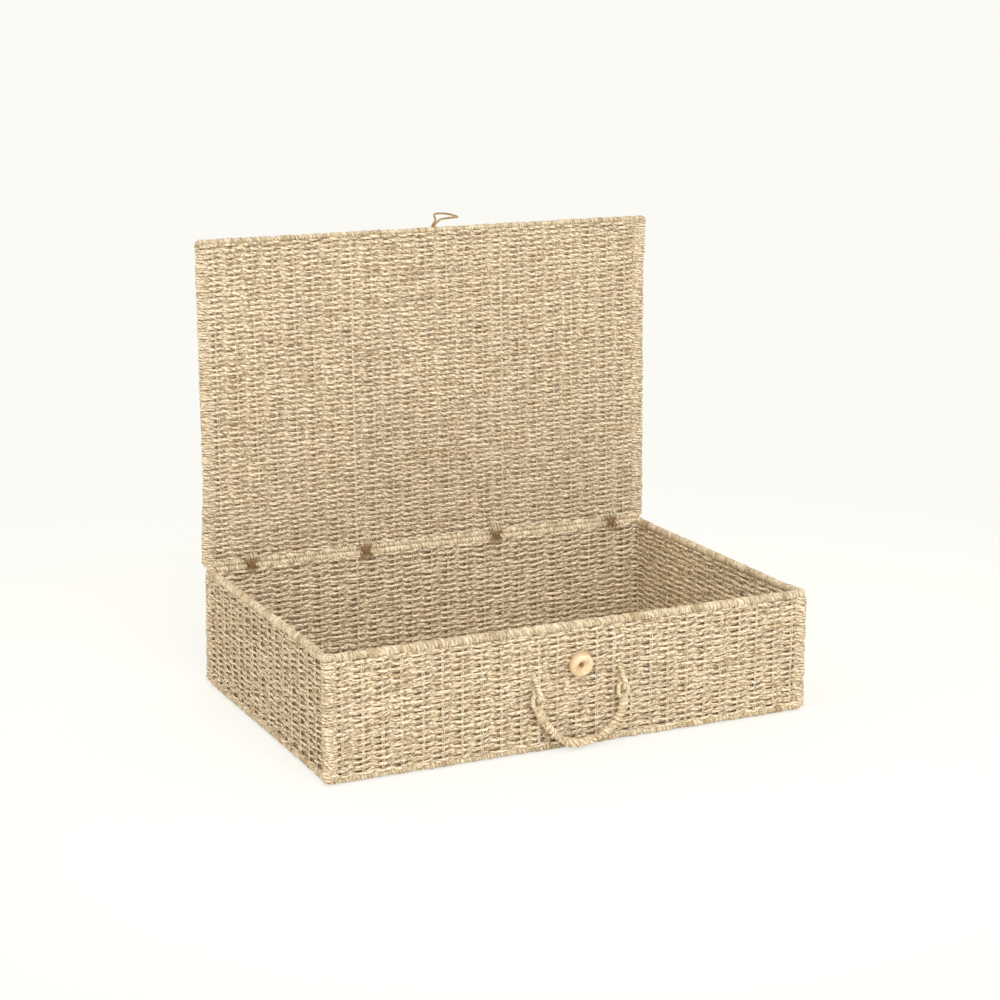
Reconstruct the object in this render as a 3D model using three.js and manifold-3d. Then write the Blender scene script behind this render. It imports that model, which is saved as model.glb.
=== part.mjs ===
// A woven seagrass box with a hinged lid, a rope handle, and a button and loop closure.
// Lengths are millimetres. +Z is up, +X is to the right of someone who faces the front,
// and the front is at -Y. The origin is the middle of the underside.

import * as THREE from 'three';
import { mergeVertices } from 'three/addons/utils/BufferGeometryUtils.js';
import Module from 'manifold-3d';

const wasm = await Module();
wasm.setup();

// Overall sizes
const BOX_WIDTH = 600;
const BOX_DEPTH = 400;
const BOX_HEIGHT = 147;
const LID_LENGTH = 395;
const LID_OPEN_DEG = 91;

// Wire frame, and the seagrass that is wound and woven on it
const WIRE_RADIUS = 2;
const RIM_RADIUS = 5.5;
const BASE_RADIUS = 5;
const RIB_RADIUS = 7;
const CORNER_BEND = 6.5;
const PANEL_THICKNESS = 8;
const FLOOR_WIRE_HEIGHT = 4;
const FRONT_STAY_X = [-46, 48];
const CROSS_WIRE_X = [-104, 96];
const FLOOR_WIRE_X = [-96, 104];

// Lashings that hinge the lid
const TIE_X = [-243, -93, 85, 250];
const TIE_WIDTH = 16;
const TIE_THICKNESS = 2.5;
const TIE_PLAY = 0.6;

// Button on the front wall
const BUTTON_X = 2.5;
const BUTTON_HEIGHT = 98;
const BUTTON_RADIUS = 14.5;
const BUTTON_THICKNESS = 11;
const BUTTON_HOLE_RADIUS = 1.8;
const BUTTON_DISH_DEPTH = 3.8;
const BUTTON_CORD_RADIUS = 1.5;
const KNOT_RADIUS = 4;
const KNOT_LENGTH = 3;

// Rope handle, its eyes, and the cord links that hold the eyes to the wall
const HANDLE_X = 1.5;
const HANDLE_AXIS_HEIGHT = 71;
const HANDLE_STANDOFF = 7;
const HANDLE_HALF_SPAN = 53.5;
const HANDLE_RADIUS = 5.5;
const HANDLE_CORE_RADIUS = 2;
const EYE_CORD_RADIUS = 3;
const EYE_BEND = 6;
const EYE_FLAT = 2;
const LINK_CORD_RADIUS = 2.2;
const LINK_BEND = 6;
const LINK_RISE = 12.5;

// The middle line of the rope's sag as x and z, seen from the front: x from HANDLE_X
// and z from the underside of the box.
const HANDLE_SAG = [
  [-52.5, 52],
  [-47.5, 41.5],
  [-39, 30],
  [-29, 19.5],
  [-18, 11.5],
  [-6, 7.8],
  [7, 7.8],
  [19, 10.5],
  [30, 14],
  [38.5, 19.5],
  [46, 28],
  [52, 38],
  [54.5, 48],
];

// Route of the cord loop that stands on the lid's front edge
const LOOP_CORD_RADIUS = 1;
const LOOP_ROUTE = [
  [3.9, 201.3, 543.5],
  [6.7, 202.2, 545.6],
  [8.5, 204.6, 548.6],
  [8.7, 208.0, 551.9],
  [10.7, 211.2, 554.7],
  [15.1, 212.6, 556.0],
  [21.1, 212.7, 556.1],
  [27.5, 212.4, 555.5],
  [33.9, 211.8, 554.3],
  [38.9, 210.3, 552.8],
  [41.3, 207.6, 551.7],
  [39.5, 204.8, 551.4],
  [34.5, 203.6, 551.5],
  [27.9, 203.2, 551.1],
  [21.5, 203.0, 550.3],
  [15.7, 202.6, 548.8],
  [11.1, 202.0, 546.4],
  [7.7, 201.3, 543.5],
];

// Finishes
const SEAGRASS = { color: 0xd8be92, roughness: 0.85, metalness: 0 };
const ROPE = { color: 0xdcc59c, roughness: 0.85, metalness: 0 };
const STEEL_WIRE = { color: 0x8e8d88, roughness: 0.45, metalness: 0.9 };
const LASHING_CORD = { color: 0x7d4f27, roughness: 0.8, metalness: 0 };
const BUTTON_WOOD = { color: 0xe6c48f, roughness: 0.5, metalness: 0 };
const LOOP_CORD = { color: 0xa8805a, roughness: 0.75, metalness: 0 };

// Facets and clearances
const CLEARANCE = 0.3;
const CUT_OVERRUN = 1;
const WIRE_SIDES = 8;
const WRAP_SIDES = 12;
// An arc in a flat outline gets two facets for each of its steps.
const BEND_STEPS = 4;
const BEND_ARC_STEPS = BEND_STEPS / 2;
const LINK_ARC_STEPS = 4;
const HANDLE_STEPS = 28;
const LOOP_STEPS = 38;
const BUTTON_SIDES = 24;
const CORD_SIDES = 10;

// Places worked out from the sizes above
const FRAME_WIDTH = BOX_WIDTH - 2 * RIM_RADIUS;
const FRAME_DEPTH = BOX_DEPTH - 2 * RIM_RADIUS;
const LID_FRAME_LENGTH = LID_LENGTH - 2 * RIM_RADIUS;
const RIM_Z = BOX_HEIGHT - RIM_RADIUS;
const BASE_Z = BASE_RADIUS;
const HINGE_Y = FRAME_DEPTH / 2;
const HINGE_Z = BOX_HEIGHT + CLEARANCE + RIM_RADIUS;
const BORE_RADIUS = WIRE_RADIUS + CLEARANCE;
const WIRE_END = WIRE_RADIUS + CLEARANCE;
const WALL_BOTTOM = BASE_Z + BASE_RADIUS + CLEARANCE;
const WALL_TOP = RIM_Z - RIM_RADIUS - CLEARANCE;
const WALL_FRONT_Y = -FRAME_DEPTH / 2 - PANEL_THICKNESS / 2;
const POST_INSET = CORNER_BEND * (1 - Math.SQRT1_2);
const POST_X = FRAME_WIDTH / 2 - POST_INSET;
const POST_Y = FRAME_DEPTH / 2 - POST_INSET;
const HANDLE_AXIS_Y = -BOX_DEPTH / 2 - HANDLE_STANDOFF;

const SIDES = { left: -1, right: 1 };
const ENDS = { front: -1, back: 1 };

const box = new THREE.Group();
const lid = new THREE.Group();
lid.position.set(0, HINGE_Y, HINGE_Z);
lid.rotation.x = -THREE.MathUtils.degToRad(LID_OPEN_DEG);
box.add(lid);

function addPiece(parent, name, geometry, finish, position = [0, 0, 0]) {
  const mesh = new THREE.Mesh(geometry, new THREE.MeshStandardMaterial(finish));
  mesh.name = name;
  mesh.position.set(...position);
  parent.add(mesh);
}

// A closed solid for cutting and joining, made from the bare triangles of a geometry.
function solidOf(geometry) {
  const bare = geometry.clone();
  bare.deleteAttribute('normal');
  bare.deleteAttribute('uv');
  const merged = mergeVertices(bare);
  const vertProperties = Float32Array.from(merged.attributes.position.array);
  const triVerts = Uint32Array.from(merged.index.array);
  return new wasm.Manifold(new wasm.Mesh({ numProp: 3, vertProperties, triVerts }));
}

function geometryOf(solid) {
  const mesh = solid.getMesh();
  const geometry = new THREE.BufferGeometry();
  geometry.setAttribute('position', new THREE.BufferAttribute(mesh.vertProperties, 3));
  geometry.setIndex(new THREE.BufferAttribute(mesh.triVerts, 1));
  geometry.computeVertexNormals();
  return geometry;
}

// Cuts away the cutters that reach into the geometry's own box.
function cut(geometry, cutters) {
  geometry.computeBoundingBox();
  let solid = solidOf(geometry);
  let touched = false;
  for (const cutter of cutters) {
    cutter.computeBoundingBox();
    if (cutter.boundingBox.intersectsBox(geometry.boundingBox)) {
      solid = solid.subtract(solidOf(cutter));
      touched = true;
    }
  }
  return touched ? geometryOf(solid) : geometry;
}

// Corners of a regular polygon around a circle, with a flat side on each axis.
function polygonPoints(radius, sides) {
  const reach = radius / Math.cos(Math.PI / sides);
  return Array.from({ length: sides }, (_, i) => {
    const angle = ((i + 0.5) * 2 * Math.PI) / sides;
    return new THREE.Vector2(reach * Math.cos(angle), reach * Math.sin(angle));
  });
}

function tubeSection(radius, bore) {
  const shape = new THREE.Shape(polygonPoints(radius, WRAP_SIDES));
  shape.holes.push(new THREE.Path(polygonPoints(bore, WIRE_SIDES)));
  return shape;
}

// A section swept straight along one axis, with its middle at the origin.
function straight(section, axis, length) {
  const geometry = new THREE.ExtrudeGeometry(section, { depth: length, bevelEnabled: false });
  geometry.translate(0, 0, -length / 2);
  if (axis === 'x') geometry.rotateY(Math.PI / 2);
  if (axis === 'y') geometry.rotateX(-Math.PI / 2);
  return geometry;
}

function rod(axis, length, radius) {
  return straight(new THREE.Shape(polygonPoints(radius, WIRE_SIDES)), axis, length);
}

// A quarter of a circle in the XY plane, from one straight of a frame to the next.
class CornerArc extends THREE.Curve {
  constructor(centreX, centreY, startAngle) {
    super();
    this.centre = new THREE.Vector2(centreX, centreY);
    this.startAngle = startAngle;
  }

  getPoint(t, target = new THREE.Vector3()) {
    const angle = this.startAngle + (t * Math.PI) / 2;
    const x = this.centre.x + CORNER_BEND * Math.cos(angle);
    const y = this.centre.y + CORNER_BEND * Math.sin(angle);
    return target.set(x, y, 0);
  }
}

function roundedRectangle(path, halfWidth, halfDepth, bend) {
  path.absarc(halfWidth - bend, halfDepth - bend, bend, 0, Math.PI / 2);
  path.absarc(bend - halfWidth, halfDepth - bend, bend, Math.PI / 2, Math.PI);
  path.absarc(bend - halfWidth, bend - halfDepth, bend, Math.PI, 1.5 * Math.PI);
  path.absarc(halfWidth - bend, bend - halfDepth, bend, 1.5 * Math.PI, 2 * Math.PI);
  return path;
}

// Two half circles joined by straights along Y.
function stadium(path, halfSpan, radius) {
  path.absarc(0, halfSpan, radius, 0, Math.PI);
  path.absarc(0, -halfSpan, radius, Math.PI, 2 * Math.PI);
  return path;
}

// A closed ring of round cord or wire in the XY plane. drawOutline draws the ring's
// middle line moved outwards by the amount that it is given.
function cordRing(drawOutline, cordRadius, curveSegments) {
  const flat = cordRadius * Math.tan(Math.PI / WIRE_SIDES);
  const bevel = cordRadius - flat;
  const shape = drawOutline(new THREE.Shape(), flat);
  shape.holes.push(drawOutline(new THREE.Path(), -flat));
  const geometry = new THREE.ExtrudeGeometry(shape, {
    depth: 2 * flat,
    curveSegments,
    bevelThickness: bevel,
    bevelSize: bevel,
    bevelSegments: 1,
  });
  geometry.translate(0, 0, -flat);
  return geometry;
}

function linkGeometry(halfSpan, bend, cordRadius) {
  const outline = (path, offset) => stadium(path, halfSpan, bend + offset);
  return cordRing(outline, cordRadius, LINK_ARC_STEPS);
}

// One rectangular ring of the frame: its wire, the seagrass wound along the four
// sides, and the winding round the four corners. The ring lies flat at the height z
// with its middle at (0, middleY), and cutters are the wires that are welded to it.
function addRing(parent, prefix, size, cutters) {
  const { width, depth, middleY, z, radius } = size;
  const halfWidth = width / 2;
  const halfDepth = depth / 2;
  const outline = (path, offset) =>
    roundedRectangle(path, halfWidth + offset, halfDepth + offset, CORNER_BEND + offset);
  const wire = cordRing(outline, WIRE_RADIUS, BEND_ARC_STEPS);
  addPiece(parent, `${prefix}_wire`, wire, STEEL_WIRE, [0, middleY, z]);

  const section = tubeSection(radius, BORE_RADIUS);
  const straightX = width - 2 * CORNER_BEND - 2 * CLEARANCE;
  const straightY = depth - 2 * CORNER_BEND - 2 * CLEARANCE;
  for (const [end, sign] of Object.entries(ENDS)) {
    const wrap = straight(section, 'x', straightX);
    wrap.translate(0, middleY + sign * halfDepth, z);
    addPiece(parent, `${prefix}_wrap_${end}`, cut(wrap, cutters), SEAGRASS);
  }
  for (const [side, sign] of Object.entries(SIDES)) {
    const wrap = straight(section, 'y', straightY);
    wrap.translate(sign * halfWidth, middleY, z);
    addPiece(parent, `${prefix}_wrap_${side}`, cut(wrap, cutters), SEAGRASS);
  }
  for (const [end, signY] of Object.entries(ENDS)) {
    for (const [side, signX] of Object.entries(SIDES)) {
      const quarter = Math.atan2(signY, signX) - Math.PI / 4;
      const centreX = signX * (halfWidth - CORNER_BEND);
      const centreY = signY * (halfDepth - CORNER_BEND);
      const path = new CornerArc(centreX, centreY, quarter);
      const options = { steps: BEND_STEPS, extrudePath: path, bevelEnabled: false };
      const corner = new THREE.ExtrudeGeometry(section, options);
      corner.translate(0, middleY, z);
      addPiece(parent, `${prefix}_corner_${end}_${side}`, cut(corner, cutters), SEAGRASS);
    }
  }
}

// Straight wires welded between the rings. Each also gives the cutter that makes room
// for it in the seagrass that it runs through.
function addWires(parent, wires) {
  return wires.map(({ name, axis, length, middle }) => {
    addPiece(parent, name, rod(axis, length, WIRE_RADIUS), STEEL_WIRE, middle);
    const cutter = rod(axis, length + 2 * CUT_OVERRUN, BORE_RADIUS);
    return cutter.translate(...middle);
  });
}

function uprightWires() {
  const length = RIM_Z - BASE_Z - 2 * WIRE_END;
  const middleZ = (RIM_Z + BASE_Z) / 2;
  const wires = [];
  const add = (name, x, y) => wires.push({ name, axis: 'z', length, middle: [x, y, middleZ] });
  for (const [end, signY] of Object.entries(ENDS)) {
    for (const [side, signX] of Object.entries(SIDES)) {
      add(`corner_post_${end}_${side}`, signX * POST_X, signY * POST_Y);
    }
  }
  Object.keys(SIDES).forEach((side, i) => {
    add(`front_stay_${side}`, FRONT_STAY_X[i], -FRAME_DEPTH / 2);
    add(`back_stay_${side}`, CROSS_WIRE_X[i], FRAME_DEPTH / 2);
  });
  return wires;
}

function crossWires(prefix, places, span, middleY, z) {
  const length = span - 2 * WIRE_END;
  return Object.keys(SIDES).map((side, i) => ({
    name: `${prefix}_${side}`,
    axis: 'y',
    length,
    middle: [places[i], middleY, z],
  }));
}

// A flat woven panel that fills a ring, from z upwards by the panel's thickness.
function flatPanel(width, depth, radius, middleY, z, cutters) {
  const inset = radius + CLEARANCE;
  const bend = CORNER_BEND - inset;
  const shape = roundedRectangle(new THREE.Shape(), width / 2 - inset, depth / 2 - inset, bend);
  const options = { depth: PANEL_THICKNESS, bevelEnabled: false, curveSegments: BEND_ARC_STEPS };
  const panel = new THREE.ExtrudeGeometry(shape, options);
  panel.translate(0, middleY, z);
  return cut(panel, cutters);
}

function addWalls(cutters) {
  const height = WALL_TOP - WALL_BOTTOM;
  const middleZ = (WALL_TOP + WALL_BOTTOM) / 2;
  const ribEdge = RIB_RADIUS + CLEARANCE;
  for (const [end, sign] of Object.entries(ENDS)) {
    const wall = new THREE.BoxGeometry(2 * (POST_X - ribEdge), PANEL_THICKNESS, height);
    wall.translate(0, (sign * FRAME_DEPTH) / 2, middleZ);
    addPiece(box, `${end}_panel`, cut(wall, cutters), SEAGRASS);
  }
  for (const [side, sign] of Object.entries(SIDES)) {
    const wall = new THREE.BoxGeometry(PANEL_THICKNESS, 2 * (POST_Y - ribEdge), height);
    addPiece(box, `${side}_panel`, wall, SEAGRASS, [(sign * FRAME_WIDTH) / 2, 0, middleZ]);
  }
  for (const [end, signY] of Object.entries(ENDS)) {
    for (const [side, signX] of Object.entries(SIDES)) {
      const rib = straight(tubeSection(RIB_RADIUS, BORE_RADIUS), 'z', height);
      const place = [signX * POST_X, signY * POST_Y, middleZ];
      addPiece(box, `corner_rib_${end}_${side}`, rib, SEAGRASS, place);
    }
  }
}

// The lashings, each an oblong ring of cord round the back rim and the lid's back edge.
function tieRing(inner, outer, width) {
  const halfSpan = (HINGE_Z - RIM_Z) / 2;
  const shape = stadium(new THREE.Shape(), halfSpan, outer);
  shape.holes.push(stadium(new THREE.Path(), halfSpan, inner));
  const options = { depth: width, bevelEnabled: false, curveSegments: LINK_ARC_STEPS };
  const ring = new THREE.ExtrudeGeometry(shape, options);
  ring.translate(0, 0, -width / 2);
  ring.rotateX(Math.PI / 2);
  ring.rotateZ(Math.PI / 2);
  return ring;
}

const TIE_INNER = RIM_RADIUS + TIE_PLAY;
const TIE_OUTER = TIE_INNER + TIE_THICKNESS;

function addTies() {
  TIE_X.forEach((x, i) => {
    const ring = tieRing(TIE_INNER, TIE_OUTER, TIE_WIDTH);
    addPiece(box, `hinge_tie_${i + 1}`, ring, LASHING_CORD, [x, HINGE_Y, (HINGE_Z + RIM_Z) / 2]);
  });
}

// Room for the lashings: notches along a panel's edge, which runs along X at y and z.
function tieNotches(y, z) {
  const reach = 2 * (TIE_OUTER + CLEARANCE);
  return TIE_X.map((x) => {
    const notch = new THREE.BoxGeometry(TIE_WIDTH + 2 * CLEARANCE, reach, reach);
    return notch.translate(x, y, z);
  });
}

// A turned piece whose axis points to the front, from a profile of radius and height.
function turned(profile, sides) {
  const points = profile.map(([radius, height]) => new THREE.Vector2(radius, height));
  return new THREE.LatheGeometry(points, sides).rotateX(Math.PI);
}

function addButton() {
  const flatRadius = 0.76 * BUTTON_RADIUS;
  const crestRadius = 0.72 * BUTTON_RADIUS;
  const dishBottom = BUTTON_THICKNESS - BUTTON_DISH_DEPTH;
  const profile = [
    [BUTTON_HOLE_RADIUS, 0],
    [flatRadius, 0],
    [0.97 * BUTTON_RADIUS, 0.25 * BUTTON_THICKNESS],
    [BUTTON_RADIUS, 0.5 * BUTTON_THICKNESS],
    [0.95 * BUTTON_RADIUS, 0.8 * BUTTON_THICKNESS],
    [0.84 * BUTTON_RADIUS, 0.96 * BUTTON_THICKNESS],
    [crestRadius, BUTTON_THICKNESS],
    [0.56 * BUTTON_RADIUS, 0.92 * BUTTON_THICKNESS],
    [0.34 * BUTTON_RADIUS, 0.76 * BUTTON_THICKNESS],
    [BUTTON_HOLE_RADIUS, dishBottom],
    [BUTTON_HOLE_RADIUS, 0],
  ];
  const backY = WALL_FRONT_Y - CLEARANCE;
  const place = [BUTTON_X, backY, BUTTON_HEIGHT];
  addPiece(box, 'button', turned(profile, BUTTON_SIDES), BUTTON_WOOD, place);

  // The sewing cord, with a knot in the dish and one behind the wall.
  const knotInside = -PANEL_THICKNESS - 2 * CLEARANCE;
  const knotDish = dishBottom + CLEARANCE;
  const dishKnotRadius = 0.6 * KNOT_RADIUS;
  const cord = [
    [0, knotInside - KNOT_LENGTH],
    [0.7 * KNOT_RADIUS, knotInside - KNOT_LENGTH],
    [KNOT_RADIUS, knotInside - KNOT_LENGTH / 2],
    [0.8 * KNOT_RADIUS, knotInside],
    [BUTTON_CORD_RADIUS, knotInside],
    [BUTTON_CORD_RADIUS, knotDish],
    [dishKnotRadius, knotDish + 0.4 * KNOT_LENGTH],
    [0.7 * dishKnotRadius, knotDish + 0.8 * KNOT_LENGTH],
    [0, knotDish + 0.8 * KNOT_LENGTH],
  ];
  addPiece(box, 'button_cord', turned(cord, CORD_SIDES), ROPE, place);
}

// The two cord links, each a loop through the front wall that hangs down at a slant and
// runs round one eye of the handle.
const LINK_REACH = -FRAME_DEPTH / 2 - HANDLE_AXIS_Y;
const LINK_HALF_SPAN = Math.hypot(LINK_REACH, LINK_RISE) / 2;
const LINK_SLANT = Math.atan2(LINK_RISE, LINK_REACH);
const LINK_MIDDLE_Y = HANDLE_AXIS_Y + LINK_REACH / 2;
const LINK_MIDDLE_Z = HANDLE_AXIS_HEIGHT + LINK_RISE / 2;

function hangingLink(cordRadius) {
  const link = linkGeometry(LINK_HALF_SPAN, LINK_BEND, cordRadius);
  return link.rotateY(Math.PI / 2).rotateX(LINK_SLANT);
}

function addLinks() {
  for (const [side, sign] of Object.entries(SIDES)) {
    const place = [HANDLE_X + sign * HANDLE_HALF_SPAN, LINK_MIDDLE_Y, LINK_MIDDLE_Z];
    addPiece(box, `handle_link_${side}`, hangingLink(LINK_CORD_RADIUS), ROPE, place);
  }
}

// Holes through the front wall for the links and for the button's sewing cord.
function frontHoles() {
  const through = 2 * PANEL_THICKNESS;
  const holes = [];
  const drill = (x, z, radius) => {
    const hole = rod('y', through, radius + CLEARANCE);
    holes.push(hole.translate(x, -FRAME_DEPTH / 2, z));
  };
  drill(BUTTON_X, BUTTON_HEIGHT, BUTTON_CORD_RADIUS);
  for (const sign of Object.values(SIDES)) {
    const link = hangingLink(LINK_CORD_RADIUS + CLEARANCE);
    const x = HANDLE_X + sign * HANDLE_HALF_SPAN;
    holes.push(link.translate(x, LINK_MIDDLE_Y, LINK_MIDDLE_Z));
  }
  return holes;
}

// The handle: a rope core, covered by a winding that ends in an eye at each side.
function addHandle() {
  const eyeDrop = 2 * EYE_BEND;
  const ends = Object.values(SIDES).map((sign) => sign * HANDLE_HALF_SPAN);
  const endZ = HANDLE_AXIS_HEIGHT - eyeDrop;
  const line = [[ends[0], endZ], ...HANDLE_SAG, [ends[1], endZ]];
  const points = line.map(([x, z]) => new THREE.Vector3(HANDLE_X + x, HANDLE_AXIS_Y, z));
  const path = new THREE.CatmullRomCurve3(points);
  const sweep = (sides, radius) =>
    new THREE.ExtrudeGeometry(new THREE.Shape(polygonPoints(radius, sides)), {
      steps: HANDLE_STEPS,
      extrudePath: path,
      bevelEnabled: false,
    });

  let winding = solidOf(sweep(WRAP_SIDES, HANDLE_RADIUS));
  for (const end of ends) {
    const eye = linkGeometry(EYE_FLAT / 2, EYE_BEND, EYE_CORD_RADIUS);
    eye.rotateZ(Math.PI / 2);
    eye.rotateX(Math.PI / 2);
    eye.translate(HANDLE_X + end, HANDLE_AXIS_Y, HANDLE_AXIS_HEIGHT - EYE_BEND);
    winding = winding.add(solidOf(eye));
  }
  // The core's channel runs out through the bottom of each eye.
  const channel = solidOf(sweep(WIRE_SIDES, HANDLE_CORE_RADIUS + CLEARANCE));
  winding = winding.subtract(channel);
  for (const end of ends) {
    const outlet = rod('z', eyeDrop - EYE_BEND, HANDLE_CORE_RADIUS + CLEARANCE);
    outlet.translate(HANDLE_X + end, HANDLE_AXIS_Y, endZ + EYE_CORD_RADIUS - CLEARANCE);
    winding = winding.subtract(solidOf(outlet));
  }
  addPiece(box, 'handle_winding', geometryOf(winding), ROPE);
  addPiece(box, 'handle_core', sweep(WIRE_SIDES, HANDLE_CORE_RADIUS), ROPE);
}

function addLoop() {
  const path = new THREE.CatmullRomCurve3(LOOP_ROUTE.map((p) => new THREE.Vector3(...p)));
  const section = new THREE.Shape(polygonPoints(LOOP_CORD_RADIUS, WIRE_SIDES));
  const options = { steps: LOOP_STEPS, extrudePath: path, bevelEnabled: false };
  addPiece(box, 'button_loop', new THREE.ExtrudeGeometry(section, options), LOOP_CORD);
}

// The box
const uprightCutters = addWires(box, uprightWires());
const floorWires = crossWires('floor_wire', FLOOR_WIRE_X, FRAME_DEPTH, 0, FLOOR_WIRE_HEIGHT);
const floorCutters = addWires(box, floorWires);
const boxCutters = [...uprightCutters, ...floorCutters];
const frame = { width: FRAME_WIDTH, depth: FRAME_DEPTH, middleY: 0 };
addRing(box, 'rim', { ...frame, z: RIM_Z, radius: RIM_RADIUS }, boxCutters);
addRing(box, 'base', { ...frame, z: BASE_Z, radius: BASE_RADIUS }, boxCutters);
const floor = flatPanel(FRAME_WIDTH, FRAME_DEPTH, BASE_RADIUS, 0, 0, floorCutters);
addPiece(box, 'floor_panel', floor, SEAGRASS);
addWalls([...uprightCutters, ...frontHoles(), ...tieNotches(HINGE_Y, RIM_Z)]);
addTies();

// The lid, drawn lying shut with its hinge line at the group's origin
const lidMiddleY = -LID_FRAME_LENGTH / 2;
const lidWires = crossWires('lid_wire', CROSS_WIRE_X, LID_FRAME_LENGTH, lidMiddleY, 0);
const lidCutters = addWires(lid, lidWires);
const lidFrame = { width: FRAME_WIDTH, depth: LID_FRAME_LENGTH, middleY: lidMiddleY };
addRing(lid, 'lid', { ...lidFrame, z: 0, radius: RIM_RADIUS }, lidCutters);
const lidPanelCutters = [...lidCutters, ...tieNotches(0, 0)];
const lidPanelZ = -PANEL_THICKNESS / 2;
const lidPanel = flatPanel(
  FRAME_WIDTH,
  LID_FRAME_LENGTH,
  RIM_RADIUS,
  lidMiddleY,
  lidPanelZ,
  lidPanelCutters,
);
addPiece(lid, 'lid_panel', lidPanel, SEAGRASS);

// Fittings
addButton();
addLinks();
addHandle();
addLoop();

export default box;
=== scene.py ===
"""A seagrass lidded box: walls and lid twined on a wire frame, wound borders, lashed hinges,
a turned wooden button, a rope handle and a cord loop that catches the button.

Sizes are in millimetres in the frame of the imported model, and meshes are made in metres.
"""

import logging
import math
from dataclasses import dataclass
from enum import Enum
from functools import cache
from typing import Any, Mapping, Sequence

import bpy
import numpy as np
from numpy.typing import NDArray
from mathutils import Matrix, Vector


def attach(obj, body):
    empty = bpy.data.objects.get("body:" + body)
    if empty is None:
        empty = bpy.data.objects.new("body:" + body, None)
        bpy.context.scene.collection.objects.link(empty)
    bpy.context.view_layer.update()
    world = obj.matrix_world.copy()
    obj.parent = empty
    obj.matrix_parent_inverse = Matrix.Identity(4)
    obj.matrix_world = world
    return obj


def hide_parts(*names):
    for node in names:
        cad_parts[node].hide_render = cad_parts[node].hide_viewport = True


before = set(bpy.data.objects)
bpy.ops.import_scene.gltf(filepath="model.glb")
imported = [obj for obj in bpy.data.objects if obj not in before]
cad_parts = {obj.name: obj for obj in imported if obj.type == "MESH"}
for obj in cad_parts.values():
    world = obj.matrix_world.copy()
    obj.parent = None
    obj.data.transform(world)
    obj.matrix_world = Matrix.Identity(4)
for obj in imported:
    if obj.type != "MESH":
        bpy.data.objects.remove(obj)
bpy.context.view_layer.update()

LOG = logging.getLogger("lidded_box")
MM = 0.001
TAU = 2 * math.pi

Vec = tuple[float, float, float]
Array = NDArray[np.float64]
Whole = NDArray[np.int64]

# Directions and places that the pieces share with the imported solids.
X, Y, Z = (1.0, 0.0, 0.0), (0.0, 1.0, 0.0), (0.0, 0.0, 1.0)
HANDS = (("left", -1), ("right", 1))
FRAME_HALF_WIDTH = 294.5
FRAME_HALF_DEPTH = 194.5
RIM_HEIGHT = 141.5
BASE_HEIGHT = 5.0
WALL_BOTTOM = 10.3
WALL_TOP = 135.7
HINGE_Y = 194.5
HINGE_Z = 152.8
LID_LEAN = math.radians(1.0)
LID_UP = (0.0, math.sin(LID_LEAN), math.cos(LID_LEAN))
LID_LENGTH = 384.0


def linear_colour(code: str) -> tuple[float, float, float, float]:
    """Turns an sRGB hex colour into the linear colour that a shader socket takes.

    Args:
        code: six hex digits.

    Returns:
        Linear red, green and blue, and an alpha of 1.
    """
    values = [int(code[i : i + 2], 16) / 255 for i in (0, 2, 4)]
    red, green, blue = (
        v / 12.92 if v <= 0.04045 else ((v + 0.055) / 1.055) ** 2.4 for v in values
    )
    return (red, green, blue, 1.0)


def add_node(
    tree: bpy.types.NodeTree,
    kind: str,
    inputs: Mapping[int | str, Any] | None = None,
    stops: Sequence[tuple[float, str]] = (),
    **settings: Any,
) -> bpy.types.Node:
    """Adds one node to a tree.

    Args:
        tree: the node tree that it goes in.
        kind: the node's type, without the prefix that shader nodes share.
        inputs: each input's constant, or the output or node that feeds it. A node gives its
            first output in use.
        stops: place and sRGB hex colour of each stop, for a colour ramp.
        settings: the node's own properties.

    Returns:
        The new node.
    """
    node = tree.nodes.new("ShaderNode" + kind)
    for key, value in settings.items():
        setattr(node, key, value)
    for key, value in (inputs or {}).items():
        if isinstance(value, bpy.types.Node):
            value = next(output for output in value.outputs if output.enabled)
        if isinstance(value, bpy.types.NodeSocket):
            tree.links.new(value, node.inputs[key])
        else:
            node.inputs[key].default_value = value
    for index, (place, code) in enumerate(stops):
        ramp = node.color_ramp.elements
        stop = ramp[index] if index < 2 else ramp.new(place)
        stop.position = place
        stop.color = linear_colour(code)
    return node


def blank_nodes(owner: bpy.types.Material | bpy.types.World) -> bpy.types.NodeTree:
    """Gives a material or a world an empty node tree.

    Args:
        owner: the material or world.

    Returns:
        Its node tree.
    """
    owner.use_nodes = True
    owner.node_tree.nodes.clear()
    return owner.node_tree


class Finish:
    """How a surface was made and what that gives the eye."""

    name: str

    def surface(self, tree: bpy.types.NodeTree) -> dict[str, Any]:
        """Draws the finish's pattern.

        Args:
            tree: the material's node tree.

        Returns:
            What each input of the surface shader gets.
        """
        raise NotImplementedError

    @cache
    def material(self) -> bpy.types.Material:
        """Builds the material, the first time that it is asked for.

        Returns:
            The material.
        """
        material = bpy.data.materials.new(self.name)
        tree = blank_nodes(material)
        shader = add_node(tree, "BsdfPrincipled", self.surface(tree))
        add_node(tree, "OutputMaterial", {0: shader})
        return material


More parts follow.
